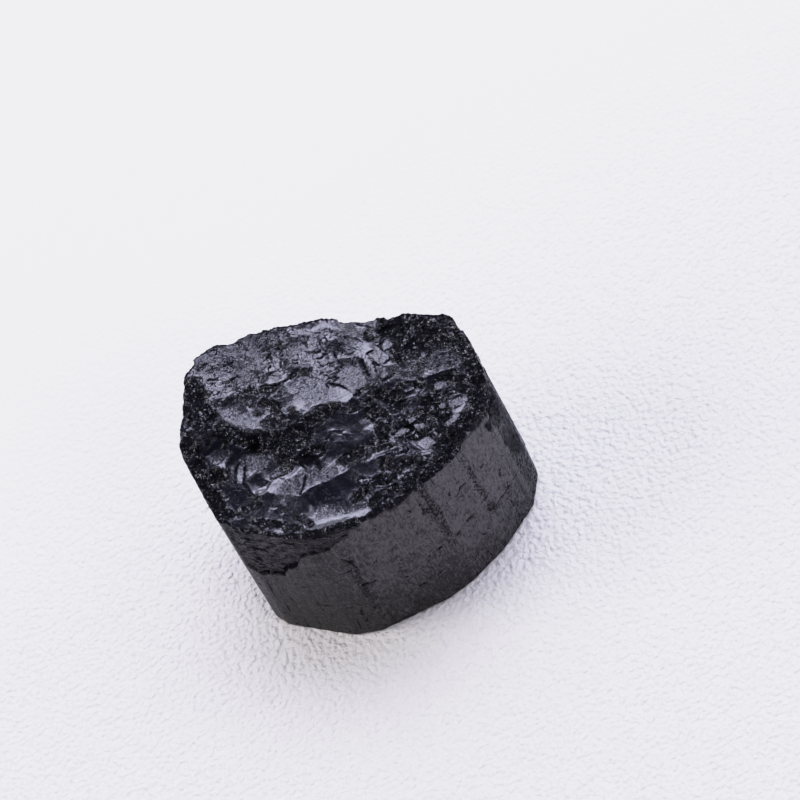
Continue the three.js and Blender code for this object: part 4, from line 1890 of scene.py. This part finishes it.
CRACKS = (
    Groove(((-5.95, 7.25), (-4.6, 6.65), (-3.4, 5.9), (-2.6, 5.65), (-1.8, 5.75)), 0.13, 0.12),
    Groove(((-1.8, 5.75), (-1.35, 6.15), (-0.8, 6.1), (0, 5.4)), 0.13, 0.12),
    Groove(((-1.45, 8.7), (-1.65, 8.2), (-2.15, 7.3)), 0.16, 0.14),
    Groove(((-4.45, 7.4), (-4.05, 8.3)), 0.13, 0.1),
    Groove(((-4.65, 6.8), (-3.75, 6.8), (-3.25, 7.2), (-2.35, 7.2)), 0.13, 0.12),
    Groove(((-3.65, 8.8), (-2.75, 9.2), (-2.25, 9.4)), 0.13, 0.1),
    Groove(((-3.15, 10.2), (-2.45, 10), (-1.75, 10.1)), 0.14, 0.12),
    Groove(((-1.85, 9.6), (-1.35, 9.2)), 0.13, 0.1),
    Groove(((-7.05, 10.4), (-6.25, 10.6), (-5.35, 10.5)), 0.12, 0.08),
    Groove(((-9.15, 11.1), (-8.75, 10.5)), 0.13, 0.1),
    Groove(((-8.35, 10.1), (-7.65, 9.7), (-7.55, 9.3)), 0.13, 0.1),
    Groove(((-8.15, 9.5), (-7.65, 9.4)), 0.1, 0.08),
    Groove(((-6.55, 8.8), (-5.95, 9.1), (-5.55, 8.7)), 0.1, 0.07),
    Groove(((-4.95, 10.1), (-4.85, 9.4)), 0.1, 0.07),
    Groove(((-4.25, 10.1), (-4.25, 9.5)), 0.1, 0.07),
    Groove(((-10.35, -1.8), (-9.75, -0.5), (-9.05, 0.2)), 0.16, 0.16),
    Groove(((-9.95, -2.6), (-9.25, -1.3), (-8.75, 0.1)), 0.15, 0.15),
    Groove(((-4.65, -4.8), (-5.15, -5.6), (-5.95, -6.5)), 0.13, 0.14),
    Groove(((-4.25, 2.6), (-3.65, 1.8), (-3.55, 1.1)), 0.15, 0.14),
    Groove(((0.65, 2.4), (0.85, 3.1), (1.45, 2.5), (2.05, 1.6), (2.45, 1.3)), 0.15, 0.15),
    Groove(((4.1, 0.8), (4.2, 1.8), (4.35, 2.6)), 0.11, 0.1),
    Groove(((4.2, 2.6), (4.3, 3.6)), 0.22, 0.16),
    Groove(((4.9, 2.6), (5.5, 2), (5.9, 1.4), (6.4, 0.7)), 0.12, 0.12),
    Groove(((4.9, 0.3), (5.7, 0.35), (6.4, 0.55)), 0.2, 0.14),
    Groove(((2.65, 5.9), (2.55, 4.4)), 0.12, 0.08),
    Groove(((2.95, 7.1), (2.85, 6.2)), 0.11, 0.07),
    Groove(((6, 4.2), (6.5, 3.2), (6.6, 2.2)), 0.1, 0.08),
    Groove(((6.1, 4.35), (7.4, 4.3)), 0.12, 0.1),
)
HACKLES = (
    Groove(((5.3, 7.7), (6.2, 6.7), (6.8, 5.9)), 0.2, -0.14),
    Groove(((7.85, 5.1), (9.05, 4.3)), 0.16, -0.14),
    Groove(((7.5, 4.4), (7.5, 3.6), (7.8, 2.6), (7.9, 1.8), (8.1, 1.2), (8.6, 0.8)), 0.16, -0.14),
    Groove(((4.15, -1.3), (5.25, -2)), 0.14, -0.12),
    Groove(((-1.25, -1.8), (0.15, -2.4)), 0.12, -0.06),
    Groove(((-1.65, -3.1), (-0.05, -3.8)), 0.12, -0.06),
    Groove(((-0.25, -2.6), (1.15, -3.7)), 0.12, -0.05),
    Groove(((-9.85, -4.1), (-8.65, -3.9)), 0.14, -0.06),
    Groove(((9.45, 3.9), (10.15, 3.2)), 0.12, -0.1),
    Groove(((10.55, 2.8), (11.05, 1.4)), 0.13, -0.1),
    Groove(((11.45, 2.5), (11.85, 0.6)), 0.13, -0.1),
)
PLATES = (
    Plate(2.9, 2.3, 1, 1.6, 8, (-0.03, 0)),
    Plate(5.85, 2.9, 0.6, 1.2, 14, (0.02, 0.02)),
    Plate(6.9, 3.6, 0.5, 0.55, 0, (0, -0.14)),
    Plate(5.45, 0.85, 0.38, 0.35, 10, (0, -0.1)),
    Plate(4.75, 1.9, 0.32, 0.7, -8, (0.02, 0.04)),
    Plate(-3.6, 2.7, 0.28, 0.55, 12, (0, 0.05)),
    Plate(3.2, 0.05, 0.9, 0.1, 3),
    Plate(5.6, -0.1, 0.7, 0.12, -3),
    Plate(1.6, 0.2, 0.5, 0.1, 8),
    Plate(4.3, -5.8, 0.75, 0.38, 8),
    Plate(6, -6.15, 0.5, 0.38, -8, (0.05, 0.02)),
    Plate(5.85, -8.2, 0.62, 0.75, 15, (0, -0.05)),
    Plate(9.95, -5.9, 0.95, 0.55, 12, (0, 0.02)),
    Plate(8.65, -7.4, 0.85, 0.3, 28, (0.02, 0.03)),
    Plate(9.25, -3.35, 0.6, 0.45, -20, (-0.05, 0)),
    Plate(6.7, -2.05, 0.55, 0.35, 0, (0, 0.05)),
    Plate(5.65, -5.15, 0.4, 0.3, 0),
    Plate(7.65, -4.8, 0.22, 0.15, -30),
    Plate(8.55, -5.4, 0.35, 0.4, 0),
    Plate(-6.85, -3.15, 0.5, 0.17, -3),
    Plate(3.25, -9.95, 0.6, 0.2, -15),
    Plate(-8.05, 1.25, 0.35, 0.2, 10),
    Plate(-4.2, -2, 0.25, 0.35, 10),
    Plate(-2.95, -3.2, 0.45, 0.17, -25),
    Plate(-2.85, 0.6, 0.3, 0.2, -35),
    Plate(-11.85, 7.4, 0.25, 0.42, 0, (0, 0.02)),
    Plate(3.15, -3.1, 0.3, 0.2, -20),
    Plate(3.55, -3.7, 0.2, 0.25, 0),
    Plate(3.35, -10.55, 0.2, 0.2, 0),
    Plate(1.45, -10.3, 0.3, 0.15, -10),
    Plate(11.75, -5.1, 0.3, 0.3, 20),
    Plate(0.3, -8.45, 0.12, 0.12, 0),
    Plate(11.3, -4.7, 0.12, 0.45, 20, (0, 0.03)),
    Plate(12, -5.2, 0.3, 0.14, -15),
    Plate(1.75, -8.9, 0.35, 0.12, -40),
    Plate(3.6, -7.3, 0.2, 0.55, -10, (0, 0.05)),
    Plate(-1.6, -10.6, 0.5, 0.15, -12, (0, 0.03)),
)
RIPPLES = (
    ShellRipple(-10.75, 1.2, 0.5, 1.9, 0.75, 0.11, 85, 100),
    ShellRipple(-9.1, 0.9, 0.5, 3.1, 0.5, 0.015, -110, 60, rays=26),
    ShellRipple(3.6, -6, 0.8, 3.4, 0.5, 0.07, -98, 42, rays=40),
    ShellRipple(1.9, 6.4, 2.2, 6.2, 0.34, 0.04, -78, 45),
    ShellRipple(-6, 13, 2, 6.5, 0.9, 0.015, -95, 50),
    ShellRipple(4.8, 5.6, 0.8, 4.2, 0.45, 0.025, -100, 35, rays=30),
    ShellRipple(-6.4, -3.6, 1.5, 6, 1.1, 0.03, -50, 50),
    ShellRipple(1.2, 0.8, 1.5, 5, 0.7, 0.02, -90, 60),
)
RIM_REACH = (
    (0, 0.35), (8, 0.35), (12, 0.45), (16.5, 0.45), (18, 0.8), (24, 0.85), (27.5, 1.15),
    (31, 1), (36, 0.5), (38.5, 0.2), (49, 0.2), (52, 0.3), (58, 0.22), (63, 0.2),
    (66, 0.35), (72, 0.4), (79.9, 0.35),
)
SKIN_BREAKS = (
    SkinBreak(
        ((0.6, 9), (1.5, 9), (2, 8.6), (4.6, 9.2), (5, 10), (6.5, 11), (7.3, 12.5),
         (8.5, 13.3), (10.5, 13.5), (12, 14), (12.6, 14.4)),
        0.26,
    ),
    SkinBreak(
        ((40.5, 12.6), (42.6, 12.4), (43, 10.4), (46.2, 10.4), (46.6, 11.5), (49, 11.5),
         (51, 13.8)),
        0.26,
    ),
    SkinBreak(((63.5, 13.2), (66.4, 13), (66.8, 11.4), (69.4, 11.6)), 0.26),
)
CHIPS = (
    Chip(9.4, -0.6, 1.6, 0.3), Chip(15.6, -0.9, 1.8, 0.3), Chip(19.9, 11.6, 1.3, 0.3),
    Chip(24.8, 5.6, 1.2, 0.3), Chip(28.4, -0.9, 1.8, 0.3), Chip(30.6, 12.6, 2.7, 0.5),
    Chip(31.8, 6.8, 3.2, 0.5), Chip(34.8, 0, 2, 0.4), Chip(38.2, 15.9, 2.4, 0.2),
    Chip(41.5, 5.5, 3.6, 0.5), Chip(47.5, 0.1, 3.2, 0.7), Chip(56, 6.5, 3.4, 0.45),
    Chip(61.2, 0.3, 2.8, 0.7), Chip(64.6, 5.4, 2.6, 0.4), Chip(73.5, 3.2, 3.2, 0.45),
)
WALL_CRACKS = (
    Groove(
        ((1.2, 9), (2, 8.6), (4.6, 9.15), (5, 9.95), (6.5, 10.95), (7.3, 12.4), (8.5, 13.2)),
        0.13,
        0.12,
    ),
    Groove(((4.7, 9.5), (5.2, 10.2), (6.3, 10.85)), 0.22, 0.18),
    Groove(((8.8, 13.2), (11, 13.4)), 0.1, 0.1),
    Groove(((2, 12.5), (4, 12.45)), 0.14, 0.12),
    Groove(((2, 14), (4.2, 13.9)), 0.14, 0.12),
    Groove(((1.5, 11), (2.8, 10.9)), 0.12, 0.1),
    Groove(((5.5, 14.2), (7.5, 14.25)), 0.12, 0.1),
    Groove(((10.8, 11.8), (11.5, 10.8), (11.7, 9.7)), 0.15, 0.12),
    Groove(((11.2, 7.2), (12.8, 6.9)), 0.13, 0.1),
    Groove(((17.5, 6.7), (19.3, 6.7)), 0.12, 0.1),
    Groove(((20.4, 6.3), (22, 6.9), (23.5, 7)), 0.12, 0.09),
    Groove(((19.9, 15.2), (20.05, 11), (20, 8)), 0.11, 0.05),
    Groove(((24.7, 12), (24.85, 8.5), (24.9, 5)), 0.11, 0.05),
    Groove(((22.5, 10.3), (23.2, 11), (24, 10.85), (26, 11)), 0.12, 0.1),
    Groove(((23, 11.8), (23.6, 11.85)), 0.11, 0.08),
    Groove(((24, 9.7), (24.6, 8.9), (25.2, 8)), 0.11, 0.08),
    Groove(((24.7, 5.1), (26.4, 5.2), (28, 5.1)), 0.12, 0.09),
    Groove(((27.2, 6.5), (27.15, 3), (27.2, 0.6)), 0.1, 0.05),
)
WALL_CRUSHED = (
    Streak(
        ((8.5, 15.9), (14, 15.5), (20, 15.5), (25.5, 15.4), (28.8, 14.9), (30.5, 14.2)),
        0.65,
        0.85,
    ),
    Streak(((33, 11.5), (33.4, 8), (34.5, 5.5)), 1.6, 0.7),
    Streak(((29, 12.9), (31.4, 13.1)), 0.6, 0.85),
    Streak(((30.6, 16.4), (31.8, 14.4), (33.8, 12.6), (36.2, 13.3)), 1.6, 0.85),
    Streak(((30.4, 9.2), (31.2, 7), (32.2, 4.6)), 0.9, 0.5),
    Streak(((43, 14.6), (48, 15.2)), 0.9, 0.7),
    Streak(((66, 12.6), (69, 13.4)), 0.8, 0.7),
)
# Dark patches of the wall: painted shade along its foot, and darker bands and patches up its faces.
WALL_DARK_PATCHES = (
    Streak(((20, 15), (20.2, 12.3), (20.1, 9), (20.2, 6.5)), 0.5, 0.56),
    Streak(((19.5, 11.9), (20.3, 11.2)), 0.6, 0.62),
    Streak(((18.5, 15.2), (20.6, 13.6)), 0.8, 0.35),
    Streak(((11.5, 13), (11.4, 8), (11.6, 3)), 0.45, 0.46),
    Streak(((15.2, 10), (15.1, 4)), 0.3, 0.35),
    Streak(((24.9, 15), (24.8, 10), (24.9, 5.5)), 0.4, 0.46),
    Streak(((24.7, 6), (24.7, 5.3)), 0.35, 0.45),
    Streak(((25, 5), (27.8, 5)), 0.15, 0.4),
    Streak(((27.2, 6), (27.3, 3), (27.2, 0)), 0.3, 0.38),
    Streak(((14, 0.4), (24, 0.3)), 0.8, 0.38),
    Streak(((30, 9.8), (31.4, 7.4), (31.6, 3.4)), 1.1, 0.5),
    Streak(((31.4, 12.5), (31.3, 7), (31.2, 0.5)), 1.9, 0.52),
    Streak(((24, 0.5), (29.5, 0.8)), 0.9, 0.45),
    Streak(((36, 13), (35.6, 5)), 1.6, 0.45),
    Streak(((28.9, 13.2), (30.2, 12.9)), 0.5, 0.5),
)
# Painted light on the wall's skin along the outline: lighter on the faces that the lamps light
# more.
PAINTED_LIGHT_ALONG = (
    (0, 0), (8, 0), (11, 0.6), (14, 1), (20.3, 1.05), (21, 1.6), (28, 1.6),
    (29.5, 0.3), (33, 0.1), (40, 0.35), (60, 0.35), (70, 0.2), (79.9, 0),
)
FAR_SIDES = (33.5, 78.5)  # the stretch of the outline that isn't seen from the front
LIGHTS = (
    Softbox("back_softbox", 38, 34, 0.9, (2.2, 1.1), 0.7, (0.97, 0.97, 1.1)),
    Softbox("back_softbox_middle", 32, 52, 0.9, (1.5, 0.9), 1.4, (0.97, 0.97, 1.14)),
    Softbox(
        "back_softbox_core", 15, 46, 0.9, (0.95, 0.5), 8.2, (0.97, 0.97, 1.12), brightens=False
    ),
    Softbox("key_light", 38, 60, 0.9, (0.5, 0.5), 7.0, (0.97, 0.97, 1.1), mirrored=False),
    Softbox("right_softbox", 85, 52, 0.8, (0.2, 0.2), 3.2, (0.97, 0.98, 1.0)),
    Softbox("left_softbox", -105, 38, 0.8, (0.2, 0.2), 4.5, (1.0, 0.94, 0.82)),
    Softbox("right_fill", 100, 40, 0.8, (0.36, 0.36), 2.2, (0.97, 0.98, 1.04), mirrored=False),
    Softbox("left_fill", -72, 36, 0.8, (0.36, 0.36), 14.0, (1.0, 0.93, 0.8), mirrored=False),
    Softbox("front_fill", 150, 35, 0.8, (0.36, 0.36), 5.6, (1.0, 0.95, 0.87), mirrored=False),
)


def along_streaks(streaks: Streaks, rng: np.random.Generator) -> tuple[float, float]:
    """Pick a point somewhere in a set of streaks, longer and wider ones more often.

    Args:
        streaks: the streaks.
        rng: where the choice comes from.

    Returns:
        The point.
    """
    lengths = [sum(math.dist(a, b) for a, b in zip(s.line, s.line[1:])) for s in streaks]
    sizes = np.array([s.width * (s.width + length) for s, length in zip(streaks, lengths)])
    streak = streaks[rng.choice(len(streaks), p=sizes / sizes.sum())]
    part = rng.uniform(0, len(streak.line) - 1)
    first = min(int(part), len(streak.line) - 2)
    ends = np.array(streak.line[first:first + 2])
    point = ends[0] + (ends[1] - ends[0]) * (part - first)
    x, y = point + rng.uniform(-0.9, 0.9, 2) * streak.width
    return float(x), float(y)


def hairlines(seed: int, count: int, streaks: Streaks) -> Grooves:
    """Scatter short curved cracks over parts of the broken top.

    Args:
        seed: which set of cracks to make.
        count: how many to make.
        streaks: where they lie.

    Returns:
        The cracks, on the slanted plan.
    """
    rng = np.random.default_rng(seed)
    cracks = []
    for _ in range(count):
        x, y = along_streaks(streaks, rng)
        heading, curve = rng.uniform(0, 2 * math.pi), rng.uniform(-0.8, 0.8)
        step = rng.uniform(0.2, 0.6)
        line = [(x, y)]
        for _ in range(rng.integers(2, 5)):
            x, y = x + step * math.cos(heading), y + step * math.sin(heading)
            heading += curve
            line.append((x, y))
        cracks.append(Groove(tuple(line), rng.uniform(0.08, 0.13), rng.uniform(0.04, 0.1)))
    return tuple(cracks)


def chips_of_light(seed: int, count: int, streaks: Streaks) -> tuple[Plate, ...]:
    """Scatter tiny level faces through the crushed stretches.

    Args:
        seed: which set of faces to make.
        count: how many to make.
        streaks: where they lie.

    Returns:
        The faces, on the slanted plan.
    """
    rng = np.random.default_rng(seed)
    plates = []
    for _ in range(count):
        x, y = along_streaks(streaks, rng)
        across, along = rng.uniform(0.1, 0.34), rng.uniform(0.07, 0.18)
        tilt = (rng.uniform(-0.25, 0.25), rng.uniform(-0.4, 0.2))
        plates.append(Plate(x, y, across, along, rng.uniform(-90, 90), tilt))
    return tuple(plates)


def far_cracks(seed: int, count: int) -> Grooves:
    """Crack the stone's far sides the way its near ones are cracked.

    Args:
        seed: which set of cracks to make.
        count: how many to make.

    Returns:
        Cracks along the wall, most of them level and short, some of them upright and long.
    """
    rng = np.random.default_rng(seed)
    cracks = []
    for number in range(count):
        at, z = rng.uniform(*FAR_SIDES), rng.uniform(1.5, 14.0)
        upright = number % 4 == 0
        reach = rng.uniform(2.0, 4.5) if upright else rng.uniform(0.5, 1.6)
        bend = rng.uniform(-0.25, 0.25, 2)
        if upright:
            low, high = max(z - reach, 0.8), min(z + reach, 14.6)
            line = ((at, low), (at + bend[0], z), (at + bend[1], high))
        else:
            line = ((at - reach, z + bend[0]), (at, z), (at + reach, z + bend[1]))
        cracks.append(Groove(line, rng.uniform(0.1, 0.16), rng.uniform(0.07, 0.13)))
    return tuple(cracks)


def main() -> None:
    """Build the stone and set up the studio."""
    logging.basicConfig(level=logging.INFO, format="%(name)s: %(message)s")
    stone = Stone(
        top=BrokenTop(
            crushed=CRUSHED,
            rippled=RIPPLED,
            frosted=FROSTED,
            cracks=(
                CRACKS
                + HACKLES
                + hairlines(seed=71, count=70, streaks=RIPPLED)
                + hairlines(seed=72, count=60, streaks=CRUSHED)
            ),
            ripples=RIPPLES,
            plates=chips_of_light(seed=73, count=210, streaks=CRUSHED) + PLATES,
        ),
        wall=Wall(
            corners=CORNERS,
            breaks=SKIN_BREAKS,
            chips=CHIPS,
            cracks=WALL_CRACKS + far_cracks(seed=61, count=26),
            crushed=WALL_CRUSHED,
            smudges=WALL_DARK_PATCHES,
            paler=PAINTED_LIGHT_ALONG,
        ),
        rim=Rim(reach=RIM_REACH),
    ).build(TourmalineFinish().material(), Relief())
    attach(stone, "root")
    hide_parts("tourmaline")
    log.info("%s: %d faces", stone.name, len(stone.data.polygons))
    Studio(LIGHTS).set_up(TableFinish().material())
    log.info("table, lights and camera are in place")


if __name__ == "__main__":
    main()
